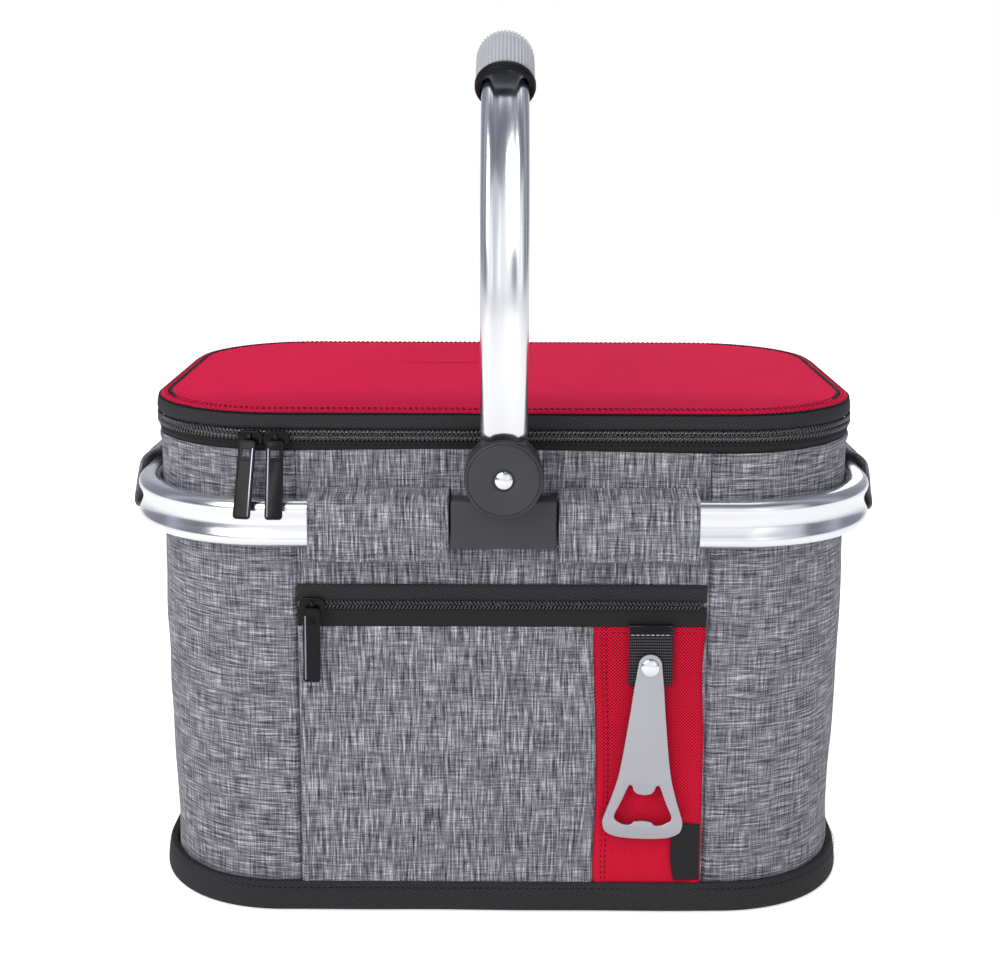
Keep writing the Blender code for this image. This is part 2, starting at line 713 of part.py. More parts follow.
def opener_outline():
    """Round head, widening shank, flared jaw with round corners. Y is up, the rivet is at 0."""
    right = arc((0, 0), OPENER_HEAD, 90, 0, 5)
    shank = [(0.0080, -0.022), (0.0105, -0.045), (0.0133, -0.063)]
    flare = [(0.0155, -0.0715), (0.0188, -0.0800)]
    jaw = arc((0.0178, -0.0885), 0.0048, 15, -60, 4)
    foot = [(0.0145, -0.0990), (0.0080, -0.1015)]
    side = right + shank + flare + jaw + foot
    return side + [(-x, y) for x, y in reversed(side[1:])]


def opener_hole():
    """The cap hole: a tooth at the top, a rounded jaw below with a low bump."""
    right = [(0.0058, -0.0750), (0.0066, -0.0712), (0.0088, -0.0704), (0.0110, -0.0760),
             (0.0160, -0.0880), (0.0158, -0.0912), (0.0120, -0.0938), (0.0065, -0.0942),
             (0.0050, -0.0922)]
    return right + [(-x, y) for x, y in reversed(right)]


def make_opener():
    middle_x = (WEBBING_X[0] + WEBBING_X[1]) / 2
    middle_u = (WEBBING_U[0] + WEBBING_U[1]) / 2
    top = POCKET_TOP
    rivet_x, rivet_z = OPENER_RIVET
    seam = joint_empty("opener_strap_seam", (middle_x, -(HALF_DEPTH + middle_u), top))
    upright = math.radians(90)
    half = (WEBBING_X[1] - WEBBING_X[0]) / 2
    hole = arc((rivet_x - middle_x, rivet_z - top), OPENER_HOLE, 0, 315, 7)
    webbing = plate("opener_strap", [rectangle((-half, half), (WEBBING_BOTTOM - top, 0)), hole],
                    WEBBING_U[1] - WEBBING_U[0], "webbing")
    place(webbing, (0, 0, 0), (upright, 0, 0), seam)
    plate_u = (OPENER_U[0] + OPENER_U[1]) / 2
    pin = joint_empty("opener_pin", (rivet_x - middle_x, middle_u - plate_u, rivet_z - top),
                      (0, OPENER_TILT, 0), seam)
    outlines = [opener_outline(), opener_hole(), arc((0, 0), OPENER_HOLE, 0, 315, 7)]
    opener = plate("bottle_opener", outlines, OPENER_U[1] - OPENER_U[0], "steel")
    place(opener, (0, 0, 0), (upright, 0, 0), pin)
    head = OPENER_U[1] - plate_u + GAP
    foot = WEBBING_U[0] + GAP - plate_u
    profile = [(0, head + 0.0015), (0.0025, head + 0.0013), (0.0043, head + 0.0007),
               (OPENER_RIVET_HEAD, head), (OPENER_SHAFT, head), (OPENER_SHAFT, foot), (0, foot)]
    rivet = turned("opener_rivet", profile, "steel")
    place(rivet, (rivet_x - middle_x, middle_u - plate_u, rivet_z - top), (upright, 0, 0), seam)


def main():
    global parts, cutters
    clear_scene()
    parts = new_collection("insulated_cooler_bag")
    cutters = new_collection("cutters")
    make_base()
    make_tub()
    make_panels()
    make_rim()
    make_pocket()
    make_ring()
    make_connectors()
    make_pivot_rivets()
    make_sleeves()
    make_side_straps()
    make_handle()
    make_lid()
    make_sliders()
    make_opener()


main()
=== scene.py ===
"""Looks of the insulated cooler bag: detailed cloth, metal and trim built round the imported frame.

Metres, +Z up, the front faces -Y. The bag's wall outline is a rounded rectangle. A place on it is
given by s, the distance along the outline from the middle of the front (right is positive), and
a point (u, z) there stands u outside the wall's outer face at height z.
"""
import math
from contextlib import contextmanager

import bmesh
import bpy
from mathutils import Matrix, Vector, noise


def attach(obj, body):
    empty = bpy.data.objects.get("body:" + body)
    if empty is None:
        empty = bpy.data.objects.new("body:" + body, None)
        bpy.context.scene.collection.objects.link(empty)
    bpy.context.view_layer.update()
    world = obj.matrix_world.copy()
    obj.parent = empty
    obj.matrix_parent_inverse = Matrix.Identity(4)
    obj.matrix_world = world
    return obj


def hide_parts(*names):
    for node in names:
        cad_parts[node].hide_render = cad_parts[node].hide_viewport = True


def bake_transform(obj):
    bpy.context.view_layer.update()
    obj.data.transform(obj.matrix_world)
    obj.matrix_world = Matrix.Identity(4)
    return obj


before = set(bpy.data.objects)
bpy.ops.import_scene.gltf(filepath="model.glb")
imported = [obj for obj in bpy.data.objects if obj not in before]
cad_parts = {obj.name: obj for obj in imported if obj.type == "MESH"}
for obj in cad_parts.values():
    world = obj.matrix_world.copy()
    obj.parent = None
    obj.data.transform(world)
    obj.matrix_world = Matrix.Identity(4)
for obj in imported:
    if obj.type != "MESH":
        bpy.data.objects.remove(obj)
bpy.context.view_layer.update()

# Wall outline and heights
HALF_WIDTH = 0.205
HALF_DEPTH = 0.138
CORNER = 0.0776
FRONT_RUN = HALF_WIDTH - CORNER
CORNER_RUN = CORNER * math.pi / 2
SIDE_RUN = 2 * (HALF_DEPTH - CORNER)
HALF_GIRTH = 2 * FRONT_RUN + 2 * CORNER_RUN + SIDE_RUN
SEAM_X = 0.117
BINDING_TOP = 0.0165
PANEL_TOP = 0.2735
ZIP_Z = 0.28255
LID_TOP = 0.2970
FABRIC = 0.0012
HINGE_S = HALF_GIRTH - 0.115

# Front pocket
POCKET_U = 0.0017
POCKET_TOP = 0.1731
POCKET_ZIP_Z = 0.1853
POCKET_TAPE_TOP = 0.1970
POCKET_ZIP_HALF = 0.0028
POCKET_LEFT = -0.1167
ACCENT_X = (0.0529, 0.1155)
LABEL_X = (0.0990, 0.1140)
LABEL_Z = (0.0185, 0.0535)

# Ring and handle
RING_Z = 0.2342
RING_HEIGHT = 0.0275
RING_THICK = 0.0125
RING_MID = 0.00815
RING_END_X = 0.0303
SLEEVE_X = (0.0306, 0.109)
STRAP_HALF = 0.035
PIVOT_Z = 0.2645
PIVOT_Y = 0.16405
DISC_RADIUS = 0.0215
DISC_HALF = 0.00845
BLOCK_HALF = 0.0297
BLOCK_Z = (0.2215, 0.2490)
BRACKET_U = (0.0012, 0.0172)
EAR_INNER_U = 0.0085
HANDLE_WIDTH = 0.0256
HANDLE_THICK = 0.0130
LEG_START = (0.1662, 0.2890)
LEG_RADIUS = 0.160
GRIP_START = math.radians(45)
GRIP_START_Z = 0.4768
CROSSBAR_Z = 0.4895
LEG_LEAN = math.asin((GRIP_START_Z - LEG_START[1]) / LEG_RADIUS - math.sin(GRIP_START))
GRIP_RADIUS = 0.0160
COLLAR_RADIUS = 0.0166
COLLAR_LENGTH = 0.006

# Sliders, pulls and opener
SLIDER_U = (0.0012, 0.0036)
BRIDGE_U = 0.0060
PULL_AXIS_U = 0.0075
PULL_AXIS_DROP = 0.0012
PULL_THICK = 0.0016
PULL_WIDTH = 0.0098
PULL_TOP = 0.0008
SLIDER_DROP = 0.0017
LEFT_SLIDER_X = 0.1410
RIGHT_SLIDER_X = 0.1268
POCKET_SLIDER_X = 0.1080
WEBBING_X = (0.0715, 0.0965)
WEBBING_U = (0.0021, 0.0045)
WEBBING_BOTTOM = 0.1398
OPENER_RIVET = (0.0836, 0.1497)
OPENER_U = (0.0049, 0.0067)
OPENER_TILT = math.radians(1.8)

UP = Vector((0, 0, 1))
FORWARD = Vector((0, -1, 0))
UPRIGHT = Matrix.Rotation(math.radians(90), 4, "X")
MERGE = 1e-7


# --- Camera, light and floor ---------------------------------------------------

def linked(name, data):
    """A new object in the scene."""
    obj = bpy.data.objects.new(name, data)
    bpy.context.scene.collection.objects.link(obj)
    return obj


def feed(tree, value, socket):
    """A fixed value for a socket, or a link from another one."""
    if isinstance(value, bpy.types.NodeSocket):
        tree.links.new(value, socket)
    else:
        socket.default_value = value


def add_node(tree, kind, settings=None, **inputs):
    """A shader node with its settings, and its inputs by name."""
    node = tree.nodes.new("ShaderNode" + kind)
    for name, value in (settings or {}).items():
        setattr(node, name, value)
    for name, value in inputs.items():
        feed(tree, value, node.inputs[name.replace("_", " ")])
    return node


def make_camera():
    camera = linked("camera", bpy.data.cameras.new("camera"))
    camera.location = (0, -1.0808, 0.4677)
    pitch = Matrix.Rotation(math.radians(90 - 9.804), 4, "X")
    roll = Matrix.Rotation(0.00396, 4, "Z")
    camera.rotation_euler = (pitch @ roll).to_euler()
    camera.data.lens = 61.95
    camera.data.sensor_width = 36
    camera.data.shift_x = -0.0041
    camera.data.shift_y = -0.0811
    camera.data.clip_start = 0.05
    bpy.context.scene.camera = camera


def make_lights():
    target = Vector((0, 0, 0.2))
    for name, location, size, power, tint in (
            ("key", (-1.1, -1.5, 1.5), 1.5, 22, (1, 0.99, 0.98)),
            ("fill", (1.3, -1.3, 0.9), 1.3, 2.5, (0.98, 0.99, 1)),
            ("top", (0, 0.3, 1.7), 1.4, 5, (1, 1, 1)),
            ("rear", (0.4, 1.8, 1.2), 1.2, 8, (1, 1, 1))):
        light = bpy.data.lights.new(name, "AREA")
        light.shape = "SQUARE"
        light.size = size
        light.energy = power
        light.color = tint
        lamp = linked(name, light)
        lamp.location = location
        lamp.rotation_euler = (target - Vector(location)).to_track_quat("-Z", "Y").to_euler()


def make_world():
    """White to the eye, even light for cloth, and a room of walls for metal to mirror."""
    world = bpy.data.worlds.new("studio")
    bpy.context.scene.world = world
    world.use_nodes = True
    tree = world.node_tree
    coords = add_node(tree, "TexCoord")
    split = add_node(tree, "SeparateXYZ", Vector=coords.outputs["Generated"])
    light_path = add_node(tree, "LightPath")
    # A metal face turned to the front mirrors white; turned aside it mirrors blue-grey walls
    depth = add_node(tree, "MapRange", From_Min=-1, Value=split.outputs["Y"])
    ramp = add_node(tree, "ValToRGB")
    tree.links.new(depth.outputs[0], ramp.inputs[0])
    stops = ramp.color_ramp
    stops.elements[0].color = (1, 1, 1, 1)
    stops.elements[1].color = (0.55, 0.56, 0.60, 1)
    for position, grey in ((0.07, 1.0), (0.17, 0.30), (0.32, 0.15), (0.47, 0.28), (0.54, 0.50),
                           (0.64, 0.22), (0.85, 0.30)):
        stop = stops.elements.new(position)
        stop.color = (grey * 0.94, grey * 0.97, min(1, grey * 1.14), 1)
    colours = {"data_type": "RGBA"}
    mirrored = add_node(tree, "Mix", colours, Factor=light_path.outputs["Is Glossy Ray"],
                        A=(0.60, 0.60, 0.61, 1), B=ramp.outputs["Color"])
    seen = add_node(tree, "Mix", colours, Factor=light_path.outputs["Is Camera Ray"],
                    A=mirrored.outputs["Result"], B=(1, 1, 1, 1))
    tree.links.new(seen.outputs["Result"], tree.nodes["Background"].inputs["Color"])


def make_floor():
    half, level = 6, -0.0004
    floor = bpy.data.meshes.new("floor")
    floor.from_pydata([(-half, -half, level), (half, -half, level), (half, half, level),
                       (-half, half, level)], [], [(0, 1, 2, 3)])
    look = Look("floor", 0.7, Base_Color=(0.90, 0.90, 0.90, 1), Emission_Color=(1, 1, 1, 1))
    # Lit up to white for the eye only, so metal does not mirror a glowing floor
    path = look.node("LightPath")
    glow = look.node("MapRange", To_Min=0.22, To_Max=0.56, Value=path.outputs["Is Camera Ray"])
    look.drive("Emission Strength", glow.outputs[0])
    floor.materials.append(look.material)
    linked("floor", floor)


def make_stage():
    bpy.context.scene.view_settings.view_transform = "Standard"
    make_camera()
    make_lights()
    make_world()
    make_floor()


# --- Materials -----------------------------------------------------------------

class Look:
    """A Principled material and short calls for the nodes that drive it."""

    def __init__(self, name, roughness, metallic=0.0, **sockets):
        self.material = bpy.data.materials.new(name)
        self.material.use_nodes = True
        self.tree = self.material.node_tree
        self.shader = self.tree.nodes["Principled BSDF"]
        self.drive("Roughness", roughness)
        self.drive("Metallic", metallic)
        for socket, value in sockets.items():
            self.drive(socket.replace("_", " "), value)
        self.coords = self.node("TexCoord")

    def node(self, kind, settings=None, **inputs):
        return add_node(self.tree, kind, settings, **inputs)

    def drive(self, socket, value):
        feed(self.tree, value, self.shader.inputs[socket])

    def mapped(self, scale, kind="UV", turn=0.0, shift=(0, 0, 0)):
        return self.node("Mapping", Scale=scale, Rotation=(0, 0, turn), Location=shift,
                         Vector=self.coords.outputs[kind]).outputs[0]

    def noise(self, vector, detail=2.0, roughness=0.5):
        return self.node("TexNoise", Scale=1.0, Detail=detail, Roughness=roughness,
                         Vector=vector).outputs["Fac"]

    def bands(self, vector, distortion=0.0):
        """Sine bands along the vector's X, one for each unit."""
        waves = {"wave_type": "BANDS", "bands_direction": "X", "wave_profile": "SIN"}
        return self.node("TexWave", waves, Scale=math.tau / 20, Distortion=distortion, Detail=1.0,
                         Vector=vector).outputs["Fac"]

    def math(self, operation, a, b=0.0):
        node = self.node("Math", {"operation": operation})
        feed(self.tree, a, node.inputs[0])
        feed(self.tree, b, node.inputs[1])
        return node.outputs[0]

    def total(self, *terms):
        """The sum of (weight, value) terms."""
        parts = [value if weight == 1 else self.math("MULTIPLY", value, weight)
                 for weight, value in terms]
        out = parts[0]
        for part in parts[1:]:
            out = self.math("ADD", out, part)
        return out

    def mix(self, factor, a, b):
        """Blend of two numbers."""
        return self.node("Mix", Factor=factor, A=a, B=b).outputs["Result"]

    def ramp(self, value, *stops):
        node = self.node("ValToRGB")
        elements = node.color_ramp.elements
        while len(elements) < len(stops):
            elements.new(0.5)
        for element, (position, colour) in zip(elements, stops):
            element.position = position
            element.color = (*colour, 1)
        self.tree.links.new(value, node.inputs[0])
        return node.outputs["Color"]

    def colour(self, value, *stops):
        """Base colour from a ramp of (position, colour) stops along the value."""
        self.drive("Base Color", self.ramp(value, *stops))

    def rough(self, value, low, high):
        self.drive("Roughness", self.node("MapRange", To_Min=low, To_Max=high, Value=value).outputs[0])

    def bump(self, height, distance, strength=1.0):
        self.drive("Normal", self.node("Bump", Distance=distance, Strength=strength,
                                       Height=height).outputs[0])


def weave_height(look, pitch, turn=0.0):
    """A plain weave: two crossed sets of threads."""
    warp = look.bands(look.mapped((1 / pitch, 1 / pitch, 1), turn=turn))
    weft = look.bands(look.mapped((1 / pitch, 1 / pitch, 1), turn=turn + math.pi / 2))
    return look.math("MAXIMUM", warp, weft)


def heather(name, upright):
    """Grey melange cloth. upright is the share of its slubs that run up the bag."""
    look = Look(name, 0.88, Sheen_Weight=0.12, Sheen_Roughness=0.5, Specular_IOR_Level=0.12)
    warp = look.noise(look.mapped((1050, 62, 1)), 3.0, 0.6)
    weft = look.noise(look.mapped((62, 1050, 1), shift=(5, 3, 0)), 3.0, 0.6)
    slub_warp = look.noise(look.mapped((820, 32, 1), shift=(9, 1, 0)), 2.0)
    slub_weft = look.noise(look.mapped((32, 820, 1), shift=(2, 7, 0)), 2.0)
    fine = look.mix(upright, weft, warp)
    slub = look.mix(upright, slub_weft, slub_warp)
    cross = look.mix(upright, warp, weft)
    grain = look.noise(look.mapped((1500, 1500, 1), shift=(4, 4, 0)), 2.0, 0.6)
    look.colour(look.total((0.46, fine), (0.20, cross), (0.20, slub), (0.14, grain)),
                (0.41, (0.028, 0.028, 0.035)), (0.465, (0.115, 0.115, 0.136)),
                (0.53, (0.265, 0.265, 0.302)), (0.60, (0.62, 0.62, 0.68)))
    look.bump(look.total((1, weave_height(look, 0.0011)), (1.2, fine)), 0.00022, 0.8)
    return look.material


def red_cloth(name, light, dark, pitch, shade_span, hole):
    """Red woven cloth. Its weave holes are darkened with painted shade, which deepens along UV Y
    across the span given after the pitch.
    """
    look = Look(name, 0.8, Specular_IOR_Level=0.02)
    height = weave_height(look, pitch, math.radians(45))
    cloud = look.noise(look.mapped((60, 60, 1)), 3.0)
    split = look.node("SeparateXYZ", Vector=look.coords.outputs["UV"])
    # Painted shade: across this span of UV Y the weave holes grow darker, where shadow falls on the
    # cloth
    shade_reach = look.node("MapRange", From_Min=shade_span[0], From_Max=shade_span[1], To_Min=0.06,
                      Value=split.outputs["Y"])
    patchy_shade = look.math("MULTIPLY", shade_reach.outputs[0], look.math("ADD", cloud, 0.35))
    gap = look.math("MULTIPLY", look.math("SUBTRACT", 1.0, height), patchy_shade)
    # The weave gaps are real; their darkest stop here is their colour in painted shade
    look.colour(look.total((0.55, height), (0.45, cloud), (-0.9, gap)),
                (0.0, hole), (0.30, dark), (0.62, light))
    look.bump(height, 0.00025, 0.55)
    return look.material


def twill(name, pitch=0.0013, dark=0.005, light=0.050):
    """Black twill tape: steep slanting ribs."""
    look = Look(name, 0.68, Specular_IOR_Level=0.2)
    rib = look.bands(look.mapped((1 / pitch, 1 / pitch, 1), turn=math.radians(-38)), 0.3)
    grain = look.noise(look.mapped((1300, 1300, 1)), 2.0)
    look.colour(look.total((0.6, rib), (0.4, grain)),
                (0.25, (dark, dark, dark * 1.08)), (0.75, (light, light, light * 1.1)))
    look.bump(look.total((1, rib), (0.4, grain)), 0.0003, 0.8)
    return look.material


def webbing(name, rib_pitch=0.0017, dot_pitch=0.0012):
    """Black webbing: ribs across it, broken into dots."""
    look = Look(name, 0.6, Specular_IOR_Level=0.2)
    rib = look.bands(look.mapped((1 / rib_pitch, 1 / rib_pitch, 1), turn=math.pi / 2))
    cross = look.bands(look.mapped((1 / dot_pitch, 1 / dot_pitch, 1)))
    tone = look.math("MULTIPLY", rib, look.math("ADD", look.math("MULTIPLY", cross, 0.5), 0.5))
    look.colour(tone, (0.35, (0.004, 0.004, 0.005)), (0.95, (0.11, 0.11, 0.12)))
    look.bump(tone, 0.0003, 0.8)
    return look.material


def metal(name, colour, roughness, streak, drawn="Object"):
    """Drawn or rolled metal: fine streaks along the given scale's small axes."""
    look = Look(name, roughness, 1.0)
    grain = look.noise(look.mapped(streak, drawn), 3.0, 0.6)
    cloud = look.noise(look.mapped((30, 30, 30), "Object"), 2.0)
    wear = look.total((0.7, grain), (0.3, cloud))
    look.rough(wear, roughness * 0.75, roughness * 1.3)
    look.colour(wear, (0.3, tuple(c * 0.93 for c in colour)), (0.7, colour))
    look.bump(grain, 0.00003, 0.35)
    return look.material


def moulded(name, colour, roughness, grain=0.0006, depth=0.00006, **sockets):
    """Plastic, rubber, foam or thread with a fine skin and a slow cloud of tone."""
    look = Look(name, roughness, **sockets)
    skin = look.noise(look.mapped((1 / grain,) * 3, "Object"), 2.0)
    cloud = look.noise(look.mapped((45, 45, 45), "Object"), 3.0)
    look.colour(look.total((0.5, skin), (0.5, cloud)),
                (0.35, colour), (0.65, tuple(min(1.0, c * 1.25) for c in colour)))
    look.rough(cloud, roughness * 0.85, roughness * 1.15)
    look.bump(skin, depth, 0.7)
    return look.material


def thread(name, colour, roughness=0.7, **sockets):
    return moulded(name, colour, roughness, 0.0004, 0.0001, **sockets)


def film(name):
    """Silvered liner film with soft creases."""
    look = Look(name, 0.3, 0.75)
    crease = look.noise(look.mapped((38, 38, 38), "Object"), 6.0, 0.62)
    emboss = look.noise(look.mapped((420, 420, 420), "Object"), 1.0)
    look.colour(crease, (0.3, (0.60, 0.61, 0.63)), (0.7, (0.82, 0.83, 0.85)))
    look.rough(crease, 0.22, 0.42)
    look.bump(look.total((1, crease), (0.08, emboss)), 0.004, 0.6)
    return look.material


LOOKS = {}


def make_looks():
    LOOKS.update(
        heather_up=heather("heather_upright", 0.80),
        heather_side=heather("heather_sideways", 0.30),
        # Each red cloth's last two values are painted shade: the span of UV Y where it darkens the
        # weave holes, and the holes' colour there. On the lid it deepens toward the front edge, on the
        # accent panel up toward the opener.
        red_lid=red_cloth("red_lid_cloth", (0.64, 0.013, 0.066), (0.57, 0.009, 0.050), 0.0011,
                          (-0.085, -0.125), (0.06, 0.004, 0.010)),
        red_panel=red_cloth("red_panel_cloth", (0.65, 0.013, 0.043), (0.54, 0.008, 0.028), 0.0014,
                            (0.02, 0.15), (0.05, 0.003, 0.008)),
        twill=twill("black_twill"),
        tape=twill("zip_tape", 0.0011, 0.006, 0.030),
        webbing=webbing("black_webbing"),
        aluminium=metal("aluminium", (0.88, 0.89, 0.92), 0.20, (3, 900, 1), "UV"),
        steel=metal("satin_steel", (0.46, 0.46, 0.50), 0.30, (900, 900, 18)),
        rivet=metal("polished_rivet", (0.85, 0.86, 0.88), 0.12, (200, 200, 200)),
        plastic=moulded("hinge_plastic", (0.038, 0.037, 0.044), 0.46, 0.0005, 0.00012,
                        Specular_IOR_Level=0.35),
        grip=moulded("grip_rubber", (0.40, 0.41, 0.44), 0.55, 0.0008, Specular_IOR_Level=0.2),
        collar=moulded("collar_rubber", (0.006, 0.006, 0.007), 0.42, 0.001, 0.00002,
                       Specular_IOR_Level=0.15),
        slider=moulded("slider_enamel", (0.004, 0.004, 0.005), 0.24, 0.0012, 0.00003,
                       Specular_IOR_Level=0.2),
        # Painted highlight: light grey metal for the strip laid on each pull where its rim catches the
        # light
        glint=metal("painted_glint_strip", (0.30, 0.30, 0.36), 0.18, (300, 300, 60)),
        teeth=moulded("zip_coil", (0.014, 0.014, 0.018), 0.22, 0.001, 0.00002,
                      Specular_IOR_Level=0.8),
        foam=moulded("foam", (0.55, 0.55, 0.54), 0.9, 0.0014, 0.0004),
        film=film("liner_film"),
        board=moulded("base_board", (0.24, 0.23, 0.22), 0.8, 0.002, 0.0002),
        thread_dark=thread("dark_thread", (0.006, 0.006, 0.008), Specular_IOR_Level=0.1),
        thread_grey=thread("grey_thread", (0.055, 0.055, 0.062), 0.8),
        thread_light=thread("light_thread", (0.36, 0.36, 0.38)),
        satin=moulded("satin_ribbon", (0.009, 0.009, 0.011), 0.38, 0.0007, 0.00005,
                      Specular_IOR_Level=0.25),
        thread_red=thread("red_thread", (0.07, 0.003, 0.008), Specular_IOR_Level=0.1),
    )


# --- Mesh helpers --------------------------------------------------------------

def finish_piece(obj, look, body, nodes=(), smooth=True):
    obj.data.materials.clear()
    obj.data.materials.append(LOOKS[look])
    if smooth:
        obj.data.shade_smooth()
    if body:
        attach(obj, body)
    if nodes:
        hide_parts(*nodes)
    return obj


@contextmanager
def edited(mesh):
    """The mesh as a bmesh, written back at the end."""
    work = bmesh.new()
    work.from_mesh(mesh)
    yield work
    work.to_mesh(mesh)
    work.free()


def mesh_from(name, verts, faces, uvs=None):
    """A mesh object with UVs in metres where they are given, one for each vertex."""
    mesh = bpy.data.meshes.new(name)
    mesh.from_pydata(verts, [], faces)
    if uvs:
        layer = mesh.uv_layers.new(name="UVMap")
        for loop in mesh.loops:
            layer.data[loop.index].uv = uvs[loop.vertex_index]
    mesh.validate()
    return linked(name, mesh)


def quads(rows, wide, closed=False):
    """Faces between rows of points, each row this wide. A closed row meets its own start."""
    return [(j * wide + i, j * wide + (i + 1) % wide, (j + 1) * wide + (i + 1) % wide,
             (j + 1) * wide + i)
            for j in range(rows - 1) for i in range(wide if closed else wide - 1)]


def grid(name, columns, rows, place, heights=None, flip=False):
    """A sheet of quads: place(a, b) gives the point for each column a and row b.

    A UV is (a, b), or (a, height) where heights has one for each row.
    """
    verts = [place(a, b) for b in rows for a in columns]
    uvs = [(a, v) for v in heights or rows for a in columns]
    faces = quads(len(rows), len(columns))
    return mesh_from(name, verts, [face[::-1] for face in faces] if flip else faces, uvs)


def thicken(obj, thickness, offset=-1.0):
    shell = obj.modifiers.new("thickness", "SOLIDIFY")
    shell.thickness = thickness
    shell.offset = offset
    shell.use_even_offset = True
    return obj


def soften(obj, levels=1):
    smooth = obj.modifiers.new("smooth", "SUBSURF")
    smooth.levels = levels
    smooth.render_levels = levels
    return obj


def bevel(obj, width, segments=3, angle=35):
    edge = obj.modifiers.new("bevel", "BEVEL")
    edge.width = width
    edge.segments = segments
    edge.limit_method = "ANGLE"
    edge.angle_limit = math.radians(angle)
    return obj


def applied(obj):
    """The same object with its modifiers made into its mesh."""
    bpy.context.view_layer.update()
    graph = bpy.context.evaluated_depsgraph_get()
    mesh = bpy.data.meshes.new_from_object(obj.evaluated_get(graph))
    obj.modifiers.clear()
    obj.data = mesh
    return obj


def lengths(points):
    """The distance walked along a flat line at each of its points."""
    run = [0.0]
    for (u0, v0), (u1, v1) in zip(points, points[1:]):
        run.append(run[-1] + math.hypot(u1 - u0, v1 - v0))
    return run


def loft(name, frames, section, closed=False, capped=True):
    """A closed section of (u, v) points along frames of (origin, u axis, v axis)."""
    count, total = len(section), len(frames)
    across = lengths(section + section[:1])
    verts, uvs, along = [], [], 0.0
    previous = frames[0][0]
    for origin, u_axis, v_axis in frames:
        along += (origin - previous).length
        previous = origin
        for (u, v), turned in zip(section, across):
            verts.append(origin + u * u_axis + v * v_axis)
            uvs.append((along, turned))
    faces = []
    for j in range(total if closed else total - 1):
        k = (j + 1) % total
        for i in range(count):
            n = (i + 1) % count
            faces.append((j * count + i, k * count + i, k * count + n, j * count + n))
    if capped and not closed:
        faces.append(tuple(range(count)))
        faces.append(tuple(range((total - 1) * count, total * count))[::-1])
    return outward(mesh_from(name, verts, faces, uvs))


def outward(obj):
    with edited(obj.data) as work:
        bmesh.ops.recalc_face_normals(work, faces=work.faces)
    return obj


def lathe(name, profile, matrix, sides=64):
    """A solid turned about local Z from (radius, z) points, then placed by the matrix."""
    angles = [math.tau * i / sides for i in range(sides)]
    verts = [matrix @ Vector((r * math.cos(angle), r * math.sin(angle), z))
             for r, z in profile for angle in angles]
    uvs = [(r * angle, z) for r, z in profile for angle in angles]
    obj = mesh_from(name, verts, quads(len(profile), sides, closed=True), uvs)
    with edited(obj.data) as work:
        bmesh.ops.remove_doubles(work, verts=work.verts, dist=MERGE)
    return outward(obj)


def plate(name, outlines, thickness, edge, matrix):
    """A flat plate with rounded edges from an outline and its holes, in local XY."""
    curve = bpy.data.curves.new(name, "CURVE")
    curve.dimensions = "2D"
    curve.fill_mode = "BOTH"
    curve.extrude = thickness / 2 - edge
    curve.bevel_depth = edge
    curve.bevel_resolution = 2
    curve.offset = -edge
    for outline in outlines:
        spline = curve.splines.new("POLY")
        spline.points.add(len(outline) - 1)
        for point, (x, y) in zip(spline.points, outline):
            point.co = (x, y, 0, 1)
        spline.use_cyclic_u = True
    drawn = linked(name + "_curve", curve)
    bpy.context.view_layer.update()
    mesh = bpy.data.meshes.new_from_object(drawn.evaluated_get(bpy.context.evaluated_depsgraph_get()))
    bpy.data.objects.remove(drawn, do_unlink=True)
    mesh.transform(matrix)
    obj = linked(name, mesh)
    with edited(mesh) as work:
        bmesh.ops.remove_doubles(work, verts=work.verts, dist=MERGE)
    return outward(obj)


def joined(name, pieces):
    """One object from several, with their modifiers made real."""
    work = bmesh.new()
    graph = bpy.context.evaluated_depsgraph_get()
    bpy.context.view_layer.update()
    graph.update()
    for piece in pieces:
        mesh = bpy.data.meshes.new_from_object(piece.evaluated_get(graph))
        work.from_mesh(mesh)
        bpy.data.meshes.remove(mesh)
    mesh = bpy.data.meshes.new(name)
    work.to_mesh(mesh)
    work.free()
    for piece in pieces:
        bpy.data.objects.remove(piece, do_unlink=True)
    return linked(name, mesh)


def arc(centre, radius, start, end, steps):
    """Points on a circle between two angles in degrees."""
    angles = [math.radians(start + (end - start) * i / steps) for i in range(steps + 1)]
    return [(centre[0] + radius * math.cos(a), centre[1] + radius * math.sin(a)) for a in angles]


def cord_section(centre, radii, sides=10):
    angles = [math.tau * i / sides for i in range(sides)]
    return [(centre[0] + radii[0] * math.cos(a), centre[1] + radii[1] * math.sin(a)) for a in angles]


def rounded(points, rounds=2):
    """A closed outline with its corners cut smooth."""
    for _ in range(rounds):
        points = [(share * x0 + (1 - share) * x1, share * y0 + (1 - share) * y1)
                  for (x0, y0), (x1, y1) in zip(points, points[1:] + points[:1])
                  for share in (0.75, 0.25)]
    return points


def spline_through(points, steps, closed=False):
    """A smooth curve through points of any dimension."""
    count = len(points)
    spans = count if closed else count - 1
    out = []
    for i in range(spans):
        if closed:
            a, b, c, d = (points[(i + k) % count] for k in (-1, 0, 1, 2))
        else:
            a, b, c, d = (points[min(max(i + k, 0), count - 1)] for k in (-1, 0, 1, 2))
        for j in range(steps):
            t = j / steps
            out.append(tuple(
                0.5 * (2 * q + (r - p) * t + (2 * p - 5 * q + 4 * r - w) * t * t
                       + (3 * q - p - 3 * r + w) * t ** 3)
                for p, q, r, w in zip(a, b, c, d)))
    if not closed:
        out.append(tuple(points[-1]))
    return out


def steps_between(low, high, pitch, fine=()):
    """Even values from low to high, with extra ones this far in from each end."""
    count = max(1, round((high - low) / pitch))
    values = {round(low + (high - low) * i / count, 7) for i in range(count + 1)}
    for inset in fine:
        values |= {round(low + inset, 7), round(high - inset, 7)}
    return sorted(values)


def bump_at(distance, width):
    return math.exp(-(distance / width) ** 2)


def ease(value, low, high):
    t = min(max((value - low) / (high - low), 0.0), 1.0)
    return t * t * (3 - 2 * t)


# --- The wall and the cloth on it ----------------------------------------------

